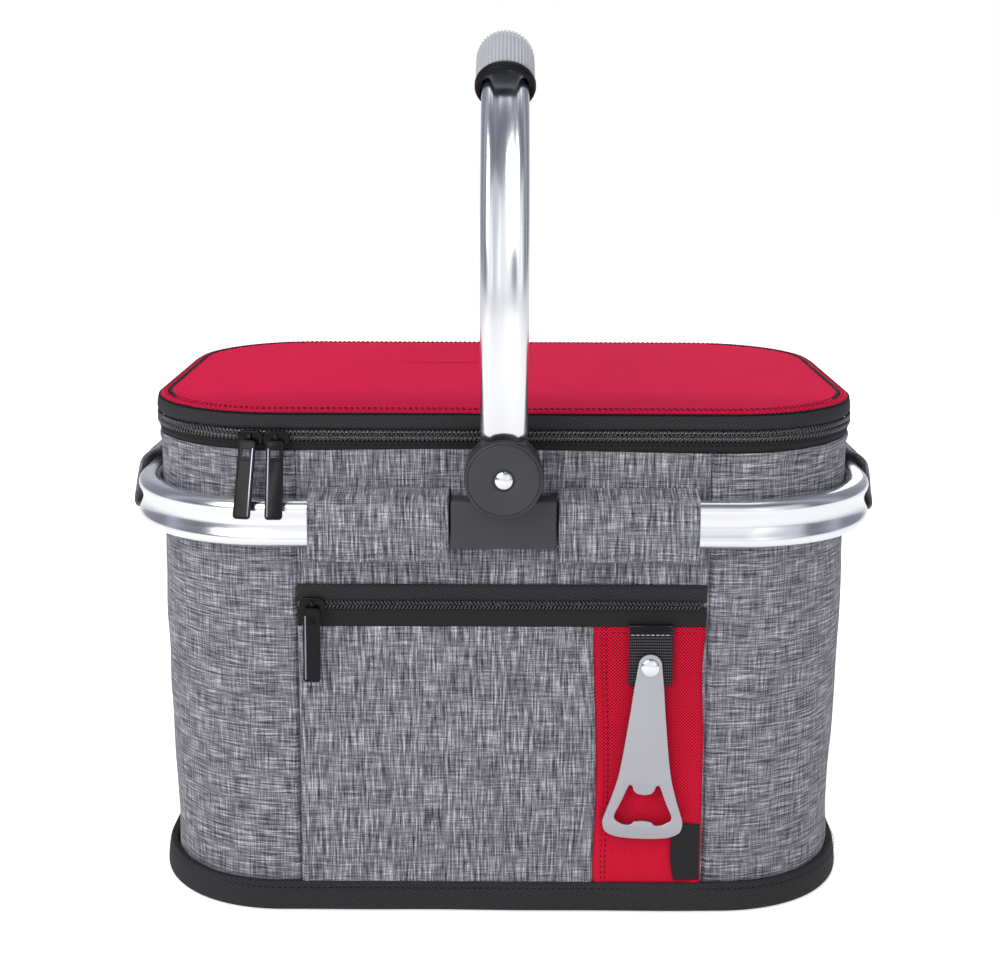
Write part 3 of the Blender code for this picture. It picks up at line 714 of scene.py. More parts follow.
def wall(s):
    """The wall's outer face at s: its place and its outward normal."""
    side = 1 if s >= 0 else -1
    t = abs(s)
    inner_y = HALF_DEPTH - CORNER
    if t <= FRONT_RUN:
        x, y, nx, ny = t, -HALF_DEPTH, 0.0, -1.0
    elif t <= FRONT_RUN + CORNER_RUN:
        angle = (t - FRONT_RUN) / CORNER
        nx, ny = math.sin(angle), -math.cos(angle)
        x, y = FRONT_RUN + CORNER * nx, -inner_y + CORNER * ny
    elif t <= FRONT_RUN + CORNER_RUN + SIDE_RUN:
        x, y, nx, ny = HALF_WIDTH, -inner_y + t - FRONT_RUN - CORNER_RUN, 1.0, 0.0
    elif t <= FRONT_RUN + 2 * CORNER_RUN + SIDE_RUN:
        angle = (t - FRONT_RUN - CORNER_RUN - SIDE_RUN) / CORNER
        nx, ny = math.cos(angle), math.sin(angle)
        x, y = FRONT_RUN + CORNER * nx, inner_y + CORNER * ny
    else:
        x, y, nx, ny = FRONT_RUN - (t - FRONT_RUN - 2 * CORNER_RUN - SIDE_RUN), HALF_DEPTH, 0.0, 1.0
    return Vector((side * x, y, 0)), Vector((side * nx, ny, 0))


def on_wall(s, u, z):
    place, normal = wall(s)
    return place + normal * u + Vector((0, 0, z))


def taper(z):
    """The soft wall draws in a little below the frame."""
    return -0.0036 * ease(0.200 - z, 0.0, 0.175)


def ripple(s, z):
    """Slack in the cloth: long soft waves and a few short ones."""
    place, _ = wall(s)
    spot = Vector((place.x, place.y, z))
    wave = 0.0016 * noise.noise(spot * 16) + 0.0007 * noise.noise(spot * 47 + Vector((3, 1, 7)))
    hold = ease(z, 0.016, 0.045) * ease(0.2735 - z, 0.0, 0.03)
    pucker = 0.00035 * math.sin(s * 330 + 3 * math.sin(s * 41))
    pucker *= bump_at(z - 0.022, 0.009) + 0.6 * bump_at(z - 0.268, 0.008)
    return wave * hold + pucker


def skin(s, z):
    return taper(z) + ripple(s, z)


def panel(name, ends, nodes, look):
    """A cloth panel between two seams, its edges turned in where it is sewn."""
    low, high = ends
    columns = steps_between(low, high, 0.003, (0.0006, 0.0013, 0.0022))
    rows = steps_between(BINDING_TOP - 0.003, PANEL_TOP, 0.003, (0.0006, 0.0014))

    def place(s, z):
        edge = min(s - low, high - s)
        top = PANEL_TOP - z
        u = skin(s, z) - 0.0016 * bump_at(edge, 0.0011) - 0.0006 * bump_at(top, 0.0012)
        u += 0.0006 * bump_at(edge - 0.0035, 0.0018) + 0.0013 * ease(z, 0.2675, 0.2715)
        lift = 0.0016 * bump_at(s + 0.06, 0.07) + 0.0006 * math.sin(s * 29 + 1)
        return on_wall(s, u, z + lift * ease(z, 0.24, PANEL_TOP))

    obj = grid(name, columns, rows, place)
    thicken(obj, FABRIC)
    finish_piece(obj, look, "bag", nodes)
    return obj


def stops_round(pitch):
    """Even values of s once round the wall, about a pitch apart."""
    count = round(2 * HALF_GIRTH / pitch)
    return [-HALF_GIRTH + 2 * HALF_GIRTH * i / count for i in range(count)]


def wall_frames(s_values, out=lambda s: 0.0, up=lambda s: 0.0):
    """Frames on the wall's outer face, moved outward and upward by functions of s."""
    frames = []
    for s in s_values:
        place, normal = wall(s)
        frames.append((place + normal * out(s) + UP * up(s), normal, UP))
    return frames


def wall_rings(profile, stops):
    """The points, UVs and quads of (u, z) points carried round the wall."""
    verts = [on_wall(s, u, z) for u, z in profile for s in stops]
    uvs = [(s, z) for _, z in profile for s in stops]
    return verts, uvs, quads(len(profile), len(stops), closed=True)


def around(name, section, look, body, nodes, pitch=0.005, wobble=lambda s: 0.0):
    """A solid with this section of (u, z) points, all the way round the wall."""
    obj = loft(name, wall_frames(stops_round(pitch), wobble), section, closed=True)
    return finish_piece(obj, look, body, nodes)


def add_spindle(verts, faces, rings):
    """A bead through rings of six points, closed at both ends."""
    base, sides = len(verts), 6
    verts.extend(point for ring in rings for point in ring)
    caps = [tuple(range(sides))[::-1], tuple(range((len(rings) - 1) * sides, len(rings) * sides))]
    faces.extend(tuple(base + k for k in face) for face in quads(len(rings), sides, True) + caps)


HEXAGON = [(math.cos(math.tau * i / 6), math.sin(math.tau * i / 6)) for i in range(6)]


def stitches(name, points, out, look, body, length=0.0021, gap=0.0012, radius=0.00022):
    """A row of thread stitches along points, lying on the surface whose outward direction is out."""
    verts, faces = [], []
    step = length + gap
    walked, want = 0.0, step / 2
    for a, b in zip(points, points[1:]):
        span = (b - a).length
        while walked + span >= want and span > 0:
            middle = a.lerp(b, (want - walked) / span)
            along = (b - a).normalized()
            lift = out(middle)
            across = along.cross(lift).normalized()
            rings = []
            for t, thick in ((-0.5, 0.35), (-0.32, 1.0), (0.32, 1.0), (0.5, 0.35)):
                sink = radius * (0.2 if thick == 1 else -0.7)
                rings.append([middle + along * (t * length) + lift * (sink + h * radius * thick)
                              + across * (c * radius * thick) for c, h in HEXAGON])
            add_spindle(verts, faces, rings)
            want += step
        walked += span
    obj = outward(mesh_from(name, verts, faces))
    return finish_piece(obj, look, body)


def wall_line(s_values, u, z):
    return [on_wall(s, u, z) for s in s_values]


def wall_normal(point):
    """The outward direction of the wall nearest a point."""
    x, y = point.x, point.y
    inner_x, inner_y = FRONT_RUN, HALF_DEPTH - CORNER
    dx = max(abs(x) - inner_x, 0.0) * (1 if x > 0 else -1)
    dy = max(abs(y) - inner_y, 0.0) * (1 if y > 0 else -1)
    return Vector((dx, dy, 0)).normalized()


# --- Bag body ------------------------------------------------------------------

def make_body():
    half = HALF_GIRTH
    back = half - SEAM_X
    panel("front_cloth", (-SEAM_X, SEAM_X), ("front_panel",), "heather_up")
    panel("right_cloth", (SEAM_X, back), ("side_panel_right",), "heather_side")
    panel("left_cloth", (-back, -SEAM_X), ("side_panel_left",), "heather_side")
    panel("back_cloth", (back, 2 * half - back), ("back_panel",), "heather_up")

    heights = steps_between(0.0055, 0.2795, 0.02)
    outer = [(taper(z) - 0.0036, z) for z in heights] + [(-0.0024, 0.2804)]
    inner = [(u - 0.0076, z) for u, z in reversed(outer)]
    around("foam_wall", outer + inner, "foam", "bag", ("wall_foam",))
    film_outer = [(u - 0.0002, z) for u, z in reversed(inner)]
    lining = loft_tub("lining", film_outer, 0.0143, 0.0007)
    finish_piece(lining, "film", "bag", ("liner",))

    profile = [(-0.0040, 0.0008), (0.0018, 0.0004), (0.0030, 0.0016), (0.0029, 0.0060),
               (0.0022, 0.0120), (0.0014, 0.0158), (0.0004, 0.0170), (-0.0006, 0.0168),
               (-0.0030, 0.0160), (-0.0040, 0.0100)]
    section = spline_through(profile, 3, closed=True)
    around("edge_binding", section, "twill", "bag", ("base_binding",), 0.004,
           lambda s: 0.0004 * math.sin(s * 23) + 0.0002 * math.sin(s * 71 + 1))
    lines = steps_between(-half, half, 0.004)
    stitches("binding_stitches", wall_line(lines, 0.0021, 0.0138), wall_normal,
             "thread_dark", "bag", 0.0024, 0.0014)

    floor = [wall(s)[0] - wall(s)[1] * 0.0017 for s in lines[:-1]]
    sole = plate("sole_cloth", [[(p.x, p.y) for p in floor]], 0.0024, 0.0008,
                 Matrix.Translation((0, 0, 0.0012)))
    finish_piece(sole, "webbing", "bag", ("base_cover",), smooth=False)
    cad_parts["base_board"].data.materials[0] = LOOKS["board"]


def loft_tub(name, wall_profile, floor_z, thickness):
    """The lining: walls from (u, z) points, with a floor that closes them."""
    rows = [(u, z) for u, z in wall_profile if z > floor_z + 0.004]
    rows = [(rows[0][0] - 0.0050, floor_z), (rows[0][0] - 0.0012, floor_z + 0.0020)] + rows
    stops = stops_round(0.00826)
    verts, uvs, faces = wall_rings(rows, stops)
    faces.append(tuple(range(len(stops)))[::-1])
    return thicken(mesh_from(name, verts, faces, uvs), thickness)


def coil_teeth(name, s_range, place, body, nodes, pitch, height, lean):
    """One side of a coil zip: a bead for each turn, leaning along the row."""
    verts, faces = [], []
    low, high = s_range
    for k in range(int((high - low) / pitch)):
        centre, out, along = place(low + (k + 0.5) * pitch)
        rings = []
        for t, wide in ((-0.5, 0.45), (-0.28, 1.0), (0.28, 1.0), (0.5, 0.45)):
            middle = centre + UP * (t * height) + along * (lean * t * 0.0016)
            rings.append([middle + along * (0.00078 * wide * c) + out * (0.00085 * wide * h)
                          for c, h in HEXAGON])
        add_spindle(verts, faces, rings)
    obj = outward(mesh_from(name, verts, faces))
    return finish_piece(obj, "teeth", body, nodes)


def make_main_zip():
    def at(z, shift):
        def place(s):
            spot, out = wall(s + shift)
            return spot + out * 0.0014 + UP * z, out, out.cross(-UP)
        return place

    for name, body, node, rise, shift, lean in (
            ("bag_coil", "bag", "rim_zip_teeth", -0.0017, 0, 1),
            ("lid_coil", "lid", "lid_zip_teeth", 0.0017, 0.0012, -1)):
        coil_teeth(name, (-HINGE_S, HINGE_S), at(ZIP_Z + rise, shift), body, (node,), 0.0024, 0.0033,
                   lean)

    tape = [(-0.0018, 0.2786), (-0.0008, 0.2796), (0.0002, 0.2794), (0.0006, 0.2786),
            (0.0006, 0.2765), (0.0000, 0.2740), (-0.0006, 0.2722), (-0.0013, 0.2722),
            (-0.0014, 0.2770)]
    around("lower_tape", spline_through(tape, 2, closed=True), "tape", "bag",
           ("rim_tape",), 0.004)
    band = [(-0.0014, 0.2872), (-0.0006, 0.2858), (0.0002, 0.2856), (0.0008, 0.2862),
            (0.0013, 0.2868), (0.0018, 0.2876), (0.0019, 0.2888), (0.0018, 0.2908),
            (0.0013, 0.2936), (0.0004, 0.2946), (-0.0012, 0.2942)]
    around("lid_side_band", spline_through(band, 3, closed=True), "twill", "lid",
           ("lid_band",), 0.004, lambda s: 0.00025 * math.sin(s * 31 + 2))
    lines = steps_between(-HALF_GIRTH, HALF_GIRTH, 0.004)
    stitches("tape_stitches", wall_line(lines, 0.0007, 0.2772), wall_normal, "thread_dark", "bag")

    low, high = -0.113, 0.113
    rows = [0.2745, 0.2775, 0.2800, 0.2815, 0.2825, 0.2835, 0.2850, 0.2870]

    def place(x, z):
        return Vector((-x, HALF_DEPTH + 0.0022 + 0.0006 * bump_at(z - ZIP_Z, 0.003), z))

    strip = grid("hinge_cloth", steps_between(low, high, 0.006), rows, place)
    thicken(strip, 0.0007)
    applied(strip)
    finish_piece(strip, "tape", None, ("rear_hinge_strip",))
    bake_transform(strip)


# --- Front pocket --------------------------------------------------------------

def pocket_bulge(x, z):
    """The pocket's cloth stands a little away from the wall between its seams."""
    across = ease(x, POCKET_LEFT, -0.07) * ease(ACCENT_X[0] - x, 0.0, 0.05)
    upward = ease(z, 0.018, 0.06) * ease(POCKET_TOP - z, 0.0, 0.05)
    return 0.0016 * across * upward


def seam_sway(x, z):
    """The two upright seams of the accent panel wander a little."""
    at_left = bump_at(x - ACCENT_X[0], 0.018) * math.sin((z - 0.128) * 34)
    at_right = bump_at(x - ACCENT_X[1], 0.018) * ease(z, 0.10, 0.15) * ease(0.176 - z, 0.0, 0.03)
    return -0.0013 * at_left * ease(z, 0.018, 0.04) - 0.0016 * at_right


def front_sheet(name, x_range, z_range, u, look, nodes, thickness=FABRIC, tuck=(),
                pitch=0.003):
    """A flat sheet on the front. tuck names the edges that are turned in at a seam."""
    (x0, x1), (z0, z1) = x_range, z_range

    def place(x, z):
        out = u(x, z)
        for side, distance in (("left", x - x0), ("right", x1 - x), ("top", z1 - z)):
            if side in tuck:
                out -= 0.0010 * bump_at(distance, 0.0009)
                out += 0.0005 * bump_at(distance - 0.0028, 0.0014)
        return Vector((x + seam_sway(x, z), -HALF_DEPTH - out, z))

    fine = (0.0005, 0.0011, 0.0020, 0.0030) if tuck else (0.0006,)
    obj = grid(name, steps_between(x0, x1, pitch, fine), steps_between(z0, z1, pitch, fine), place)
    thicken(obj, thickness)
    finish_piece(obj, look, "bag", nodes)
    return obj


def make_pocket():
    def cloth(x, z):
        return POCKET_U + 0.0001 + 0.6 * taper(z) + pocket_bulge(x, z) + 0.45 * ripple(x, z)

    def flat(x, z):
        return POCKET_U + 0.6 * taper(z) + 0.25 * ripple(x, z)

    def tape(x, z):
        return POCKET_U + 0.0002 + 0.35 * ripple(x, z)

    left, seam, right = POCKET_LEFT, ACCENT_X[0], ACCENT_X[1]
    base = BINDING_TOP - 0.001
    front_sheet("pocket_cloth", (left, seam - 0.0002), (base, POCKET_TOP), cloth, "heather_up",
                ("pocket_panel",), tuck=("left", "top", "right"))
    front_sheet("accent_cloth", (seam, right), (base, POCKET_TOP), flat, "red_panel",
                ("accent_panel",), tuck=("left", "right", "top"))
    front_sheet("pocket_tape_low", (left, right),
                (POCKET_TOP - 0.0008, POCKET_ZIP_Z - POCKET_ZIP_HALF + 0.0012),
                lambda x, z: tape(x, z) - 0.0004, "tape", ("pocket_tape_lower",), 0.001)
    front_sheet("pocket_tape_high", (left, right),
                (POCKET_ZIP_Z + POCKET_ZIP_HALF - 0.0012, POCKET_TAPE_TOP),
                tape, "twill", ("pocket_tape_upper",), 0.001, tuck=("top",))

    def row(z, shift):
        def place(x):
            return Vector((x + shift, -HALF_DEPTH - POCKET_U - 0.0010, z)), FORWARD, Vector((1, 0, 0))
        return place

    sides = [coil_teeth("pocket_coil_" + name, (left + 0.004, right - 0.003),
                        row(POCKET_ZIP_Z + rise, shift), None, (), 0.0022, 0.0026, lean)
             for name, rise, shift, lean in (("low", -0.0013, 0, 1), ("high", 0.0013, 0.0011, -1))]
    finish_piece(joined("pocket_coil", sides), "teeth", "bag", ("pocket_zip_teeth",))
    make_pocket_stitches(cloth, flat, tape)
    make_side_label()


def make_pocket_stitches(cloth, flat, tape):
    """Rows of thread on the pocket's sheets, whose surfaces are functions of x and z."""
    def sewn(x, z):
        return flat(x, z) + 0.0002

    left, seam, right = POCKET_LEFT, ACCENT_X[0], ACCENT_X[1]
    rise = steps_between(0.018, POCKET_TOP - 0.001, 0.004)
    for name, x_values, z_values, u, look in (
            ("accent_stitches_a", [seam + 0.0045], rise, sewn, "thread_red"),
            ("accent_stitches_b", [seam + 0.0068], rise, sewn, "thread_red"),
            ("accent_stitches_c", steps_between(seam + 0.009, right - 0.001, 0.004),
             [POCKET_TOP - 0.0042], sewn, "thread_red"),
            ("pocket_stitches", steps_between(left + 0.002, seam - 0.001, 0.004),
             [POCKET_TOP - 0.0035], cloth, "thread_grey"),
            ("tape_stitches_high", steps_between(left + 0.002, right - 0.001, 0.004),
             [POCKET_TAPE_TOP - 0.0030], tape, "thread_dark")):
        points = [Vector((x + seam_sway(x, z), -HALF_DEPTH - u(x, z), z))
                  for x in x_values for z in z_values]
        stitches(name, points, lambda p: FORWARD, look, "bag")


def make_side_label():
    """A blank folded ribbon at the accent's seam."""
    def place(x, z):
        fold = 1 - (x - LABEL_X[0]) / (LABEL_X[1] - LABEL_X[0])
        rise = (z - LABEL_Z[0]) / (LABEL_Z[1] - LABEL_Z[0])
        shift = 0.0022 * fold * math.sin(rise * math.pi)
        out = POCKET_U + 0.0010 + 0.0012 * fold ** 2 + 0.6 * taper(z)
        return Vector((x - shift + 0.0008, -HALF_DEPTH - out, z))

    label = grid("side_tab", steps_between(*LABEL_X, 0.0012), steps_between(*LABEL_Z, 0.002), place)
    soften(thicken(label, 0.0009))
    finish_piece(label, "satin", "bag", ("side_label",))


# --- Ring frame ----------------------------------------------------------------

def bar_section(width, thickness, middle_u=0.0, middle_v=0.0):
    """The drawn bar: two lobes with a shallow groove outside, a flat back inside."""
    half = [(thickness / 2 - 0.0017, 0.14 * width), (thickness / 2, 0.30 * width),
            (0.38 * thickness, 0.43 * width), (0.12 * thickness, 0.50 * width),
            (-0.30 * thickness, 0.49 * width), (-0.50 * thickness, 0.36 * width)]
    points = [(thickness / 2 - 0.0024, 0)] + half + [(u, -v) for u, v in reversed(half)]
    smooth = spline_through(points, 4, closed=True)
    return [(middle_u + u, middle_v + v) for u, v in smooth]


def tube(name, frames, section, wall_thickness):
    obj = loft(name, frames, section, capped=False)
    return thicken(obj, wall_thickness)


def about_pivot(side, y):
    """Local Z points outward along the handle's pivot, this far from the middle."""
    turn = Matrix.Rotation(math.radians(-90 * side), 4, "X")
    return Matrix.Translation((0, side * y, PIVOT_Z)) @ turn


def make_ring():
    section = bar_section(RING_HEIGHT, RING_THICK, RING_MID, RING_Z)
    for hand, side in (("right", 1), ("left", -1)):
        stops = [side * s for s in steps_between(RING_END_X, HALF_GIRTH - RING_END_X, 0.0035)]
        bar = tube("ring_bar_" + hand, wall_frames(stops), section, 0.0012)
        finish_piece(bar, "aluminium", "bag", ("ring_" + hand,))

    inner, outer = BRACKET_U
    low, high = BLOCK_Z
    near = EAR_INNER_U
    ear_profile = [(0.0036, near), (0.0205, near), (0.0213, near + 0.0006),
                   (DISC_RADIUS, near + 0.0014), (DISC_RADIUS, outer - 0.0004), (0.0211, outer),
                   (0.0036, outer), (0.0036, near)]
    head_profile = [(0, 0.0019), (0.0012, 0.00185), (0.0026, 0.0015), (0.0038, 0.0010),
                    (0.0046, 0.0005), (0.0051, 0.0001), (0.0050, -0.0006), (0.0030, -0.0006),
                    (0.0030, -0.0258), (0, -0.0258)]
    for end, side in (("front", -1), ("back", 1)):
        name = end + "_bracket"
        block = mesh_from(name + "_block", [], [])
        middle = Vector((0, side * (HALF_DEPTH + (inner + outer) / 2), (low + high) / 2))
        with edited(block.data) as work:
            bmesh.ops.create_cube(work, size=1)
            bmesh.ops.scale(work, vec=(2 * BLOCK_HALF - 0.0006, outer - inner, high - low),
                            verts=work.verts)
            bmesh.ops.translate(work, vec=middle, verts=work.verts)
        bevel(block, 0.0014, 4)
        ear = lathe(name + "_ear", ear_profile, about_pivot(side, HALF_DEPTH))
        bracket = joined(name, [block, ear])
        finish_piece(bracket, "plastic", "bag", (end + "_connector",))
        crease_shading(bracket)
        head = lathe(name + "_rivet", head_profile,
                     about_pivot(side, PIVOT_Y + DISC_HALF + 0.0003), 48)
        finish_piece(head, "rivet", "bag", (end + "_pivot_rivet",))


def crease_shading(obj, angle=40):
    """Smooth shading with sharp edges kept where faces meet at more than the angle."""
    with edited(obj.data) as work:
        for edge in work.edges:
            if len(edge.link_faces) == 2:
                edge.smooth = edge.calc_face_angle(0) < math.radians(angle)
        for face in work.faces:
            face.smooth = True


def make_sleeves():
    """Cloth wraps round the bar, hemmed at their ends and sewn to the wall above and below."""
    line = [(0.0006, 0.2530), (0.0050, 0.2508), (0.0105, 0.2497), (0.0146, 0.2470),
            (0.0163, 0.2420), (0.0166, 0.2342), (0.0165, 0.2255), (0.0158, 0.2180),
            (0.0148, 0.2143), (0.0128, 0.2134), (0.0085, 0.2146), (0.0040, 0.2160),
            (0.0006, 0.2150)]
    route = spline_through(line, 4)
    run = lengths(route)
    outside = [k for k, (u, z) in enumerate(route) if u > 0.013]
    hem_row = max(k for k in outside if route[k][1] > 0.2175)
    for end, side in (("front", -1), ("back", 1)):
        for hand, sign in (("left", -1), ("right", 1)):
            seed = Vector((3 + side, 5 * sign, 1))
            x0, x1 = sorted(sign * x for x in SLEEVE_X)
            columns = steps_between(x0, x1, 0.003, (0.0005, 0.0012, 0.0055, 0.0062))

            def place(x, k, side=side, x0=x0, x1=x1, seed=seed):
                u, z = route[k]
                inset = min(x - x0, x1 - x)
                free = ease(u, 0.004, 0.012)
                hem = 0.0006 * (1 - ease(inset, 0.0055, 0.0066)) - 0.0005 * bump_at(inset, 0.0006)
                slack = 0.0010 * noise.noise(Vector((x * 38, z * 30, side)) + seed)
                drop = 0.0011 * noise.noise(Vector((x * 30, 0, side)) + seed)
                out = u + free * (hem + slack * 0.8)
                return Vector((x, side * (HALF_DEPTH + out), z + drop * ease(0.226 - z, 0, 0.01)))

            name = f"{end}_wrap_{hand}"
            wrap = grid(name, columns, range(len(route)), place, run, flip=side == -1)
            thicken(wrap, 0.0013)
            finish_piece(wrap, "heather_up", "bag", (f"{end}_sleeve_{hand}",))

            upright = [k for k in outside if 0.2150 < route[k][1] < 0.2480]
            for tag, points in (("a", [place(x0 + 0.0042, k) for k in upright]),
                                ("b", [place(x1 - 0.0042, k) for k in upright]),
                                ("c", [place(x, hem_row) for x in columns[3:-3]])):
                stitches(f"{name}_stitches_{tag}", points, lambda p, side=side: Vector((0, side, 0)),
                         "thread_grey", "bag")


def make_side_straps():
    """A strap of doubled cloth from under the zip over the bar, folded back on itself below."""
    outer = [(0.0014, 0.2740), (0.0018, 0.2660), (0.0050, 0.2570), (0.0110, 0.2518),
             (0.0160, 0.2494), (0.0196, 0.2450), (0.0212, 0.2380), (0.0226, 0.2290),
             (0.0238, 0.2215)]
    fold = [(0.0233, 0.2182), (0.0210, 0.2172), (0.0195, 0.2200), (0.0186, 0.2215),
            (0.0172, 0.2190), (0.0140, 0.2176), (0.0085, 0.2182), (0.0040, 0.2168),
            (0.0014, 0.2130)]
    route = spline_through(outer + fold, 3)
    run = lengths(route)
    columns = steps_between(-STRAP_HALF, STRAP_HALF, 0.003, (0.0006, 0.0014, 0.0052, 0.0060))
    for hand, side in (("right", 1), ("left", -1)):
        def place(y, k, side=side):
            u, z = route[k]
            inset = min(y + STRAP_HALF, STRAP_HALF - y)
            free = ease(u, 0.006, 0.016)
            hem = 0.0005 * (1 - ease(inset, 0.0052, 0.0064)) - 0.0004 * bump_at(inset, 0.0007)
            slack = 0.0009 * noise.noise(Vector((side * 7, y * 34, z * 40)))
            return Vector((side * (HALF_WIDTH + u + free * (hem + slack)), y, z))

        name = "side_loop_" + hand
        strap = grid(name, columns, range(len(route)), place, run, flip=side == 1)
        thicken(strap, 0.0018, 0.0)
        finish_piece(strap, "heather_up", "bag", ("side_strap_" + hand,))
        for tag, y in (("a", -STRAP_HALF + 0.004), ("b", STRAP_HALF - 0.004)):
            points = [Vector((side * (HALF_WIDTH + u + 0.0014), y, z)) for u, z in route
                      if u > 0.015 and 0.2215 < z < 0.2480]
            stitches(f"{name}_stitches_{tag}", points[:14], lambda p, side=side: Vector((side, 0, 0)),
                     "thread_grey", "bag")


# --- Handle --------------------------------------------------------------------

def handle_path(leg_steps, elbow_steps):
    """Centreline as (y, z, tangent angle), front foot to back foot."""
    centre_y = -LEG_START[0] + LEG_RADIUS * math.cos(LEG_LEAN)
    centre_z = LEG_START[1] + LEG_RADIUS * math.sin(LEG_LEAN)
    front = []
    for i in range(leg_steps + 1):
        angle = -LEG_LEAN + (GRIP_START + LEG_LEAN) * i / leg_steps
        front.append((centre_y - LEG_RADIUS * math.cos(angle),
                      centre_z + LEG_RADIUS * math.sin(angle), angle))
    grip_y, grip_z, _ = front[-1]
    elbow = (CROSSBAR_Z - grip_z) / (1 - math.sin(GRIP_START))
    for i in range(1, elbow_steps + 1):
        angle = GRIP_START + (math.pi / 2 - GRIP_START) * i / elbow_steps
        front.append((grip_y + elbow * (math.cos(GRIP_START) - math.cos(angle)),
                      grip_z + elbow * (math.sin(angle) - math.sin(GRIP_START)), angle))
    return front + [(-y, z, math.pi - angle) for y, z, angle in reversed(front)]


def handle_frames(path):
    return [(Vector((0, y, z)), Vector((0, -math.cos(angle), math.sin(angle))), Vector((1, 0, 0)))
            for y, z, angle in path]


def ribbed_circle(radius, ribs, depth, per_rib=6):
    points = []
    for i in range(ribs * per_rib):
        angle = math.tau * i / (ribs * per_rib)
        phase = (i % per_rib) / per_rib
        r = radius - depth * (0.5 - 0.5 * math.cos(math.tau * phase)) ** 2
        points.append((r * math.cos(angle), r * math.sin(angle)))
    return points


def make_handle():
    leg_steps, elbow_steps = 44, 14
    frames = handle_frames(handle_path(leg_steps, elbow_steps))
    bar = tube("handle_bar", frames, bar_section(HANDLE_WIDTH, HANDLE_THICK), 0.0013)
    finish_piece(bar, "aluminium", "handle", ("handle_tube",))

    held = frames[leg_steps:len(frames) - leg_steps]
    grip = tube("grip_sleeve", held, ribbed_circle(GRIP_RADIUS, 46, 0.0010), 0.0016)
    finish_piece(grip, "grip", "handle", ("handle_grip",))

    end = COLLAR_LENGTH
    profile = [(0.0137, 0.0004), (0.0152, 0.0003), (0.0163, 0.0008), (COLLAR_RADIUS, 0.0018),
               (COLLAR_RADIUS, end - 0.0018), (0.0163, end - 0.0007), (0.0152, end), (0.0137, end),
               (0.0137, 0.0004)]
    for end, at, step in (("front", leg_steps, 1), ("back", len(frames) - 1 - leg_steps, -1)):
        origin, outward_axis, across = frames[at]
        along = across.cross(outward_axis) * step
        matrix = Matrix((across, outward_axis, along)).transposed().to_4x4()
        matrix.translation = origin
        collar = lathe(end + "_collar", profile, matrix)
        finish_piece(collar, "collar", "handle", ("grip_collar_" + end,))
    make_hinge_ends()


def make_hinge_ends():
    """A stepped disc on each pivot, with a socket that holds the tube's foot."""
    h = DISC_HALF
    profile = [(0.0036, -h), (0.0200, -h), (0.0212, -h + 0.0006), (DISC_RADIUS, -h + 0.0016),
               (DISC_RADIUS, h - 0.0016), (0.0212, h - 0.0007), (0.0206, h - 0.0002),
               (0.0200, h - 0.0001), (0.0197, h - 0.0005), (0.0194, h - 0.0001), (0.0190, h),
               (0.0066, h), (0.0062, h - 0.0002), (0.0060, h - 0.0007), (0.0036, h - 0.0007),
               (0.0036, -h)]
    socket = [(-0.0072, -0.0108), (-0.0052, -0.0128), (0.0052, -0.0128), (0.0072, -0.0108),
              (0.0072, 0.0108), (0.0052, 0.0128), (-0.0052, 0.0128), (-0.0072, 0.0108)]
    foot_y, foot_z = LEG_START
    sin, cos = math.sin(LEG_LEAN), math.cos(LEG_LEAN)
    across = Vector((1, 0, 0))
    for end, side in (("front", -1), ("back", 1)):
        name = end + "_hinge_end"
        disc = lathe(name + "_disc", profile, about_pivot(side, PIVOT_Y), 96)
        leaning = Vector((0, side * cos, -sin))
        upright = Vector((0, side, 0))
        along = Vector((0, side * sin, cos))
        foot = Vector((0, side * foot_y, foot_z))
        neck = loft(name + "_neck",
                    [(Vector((0, side * PIVOT_Y, PIVOT_Z + 0.004)), upright, across),
                     (Vector((0, side * PIVOT_Y, foot_z - 0.0085)), upright, across),
                     (foot - along * 0.0040, (leaning + upright).normalized(), across),
                     (foot - along * 0.0004, leaning, across)], rounded(socket, 2))
        hinge = joined(name, [disc, neck])
        finish_piece(hinge, "plastic", "handle", (end + "_handle_hinge",))
        crease_shading(hinge)


# --- Lid -----------------------------------------------------------------------

def crown(x, y):
    """How far the padded lid rises above its edge."""
    across = max(0.0, 1 - (abs(x) / 0.2) ** 3.2)
    along = max(0.0, 1 - (abs(y) / 0.133) ** 3.2)
    soft = 0.0006 * noise.noise(Vector((x * 14, y * 14, 2.0)))
    return (0.0030 + soft) * across * along


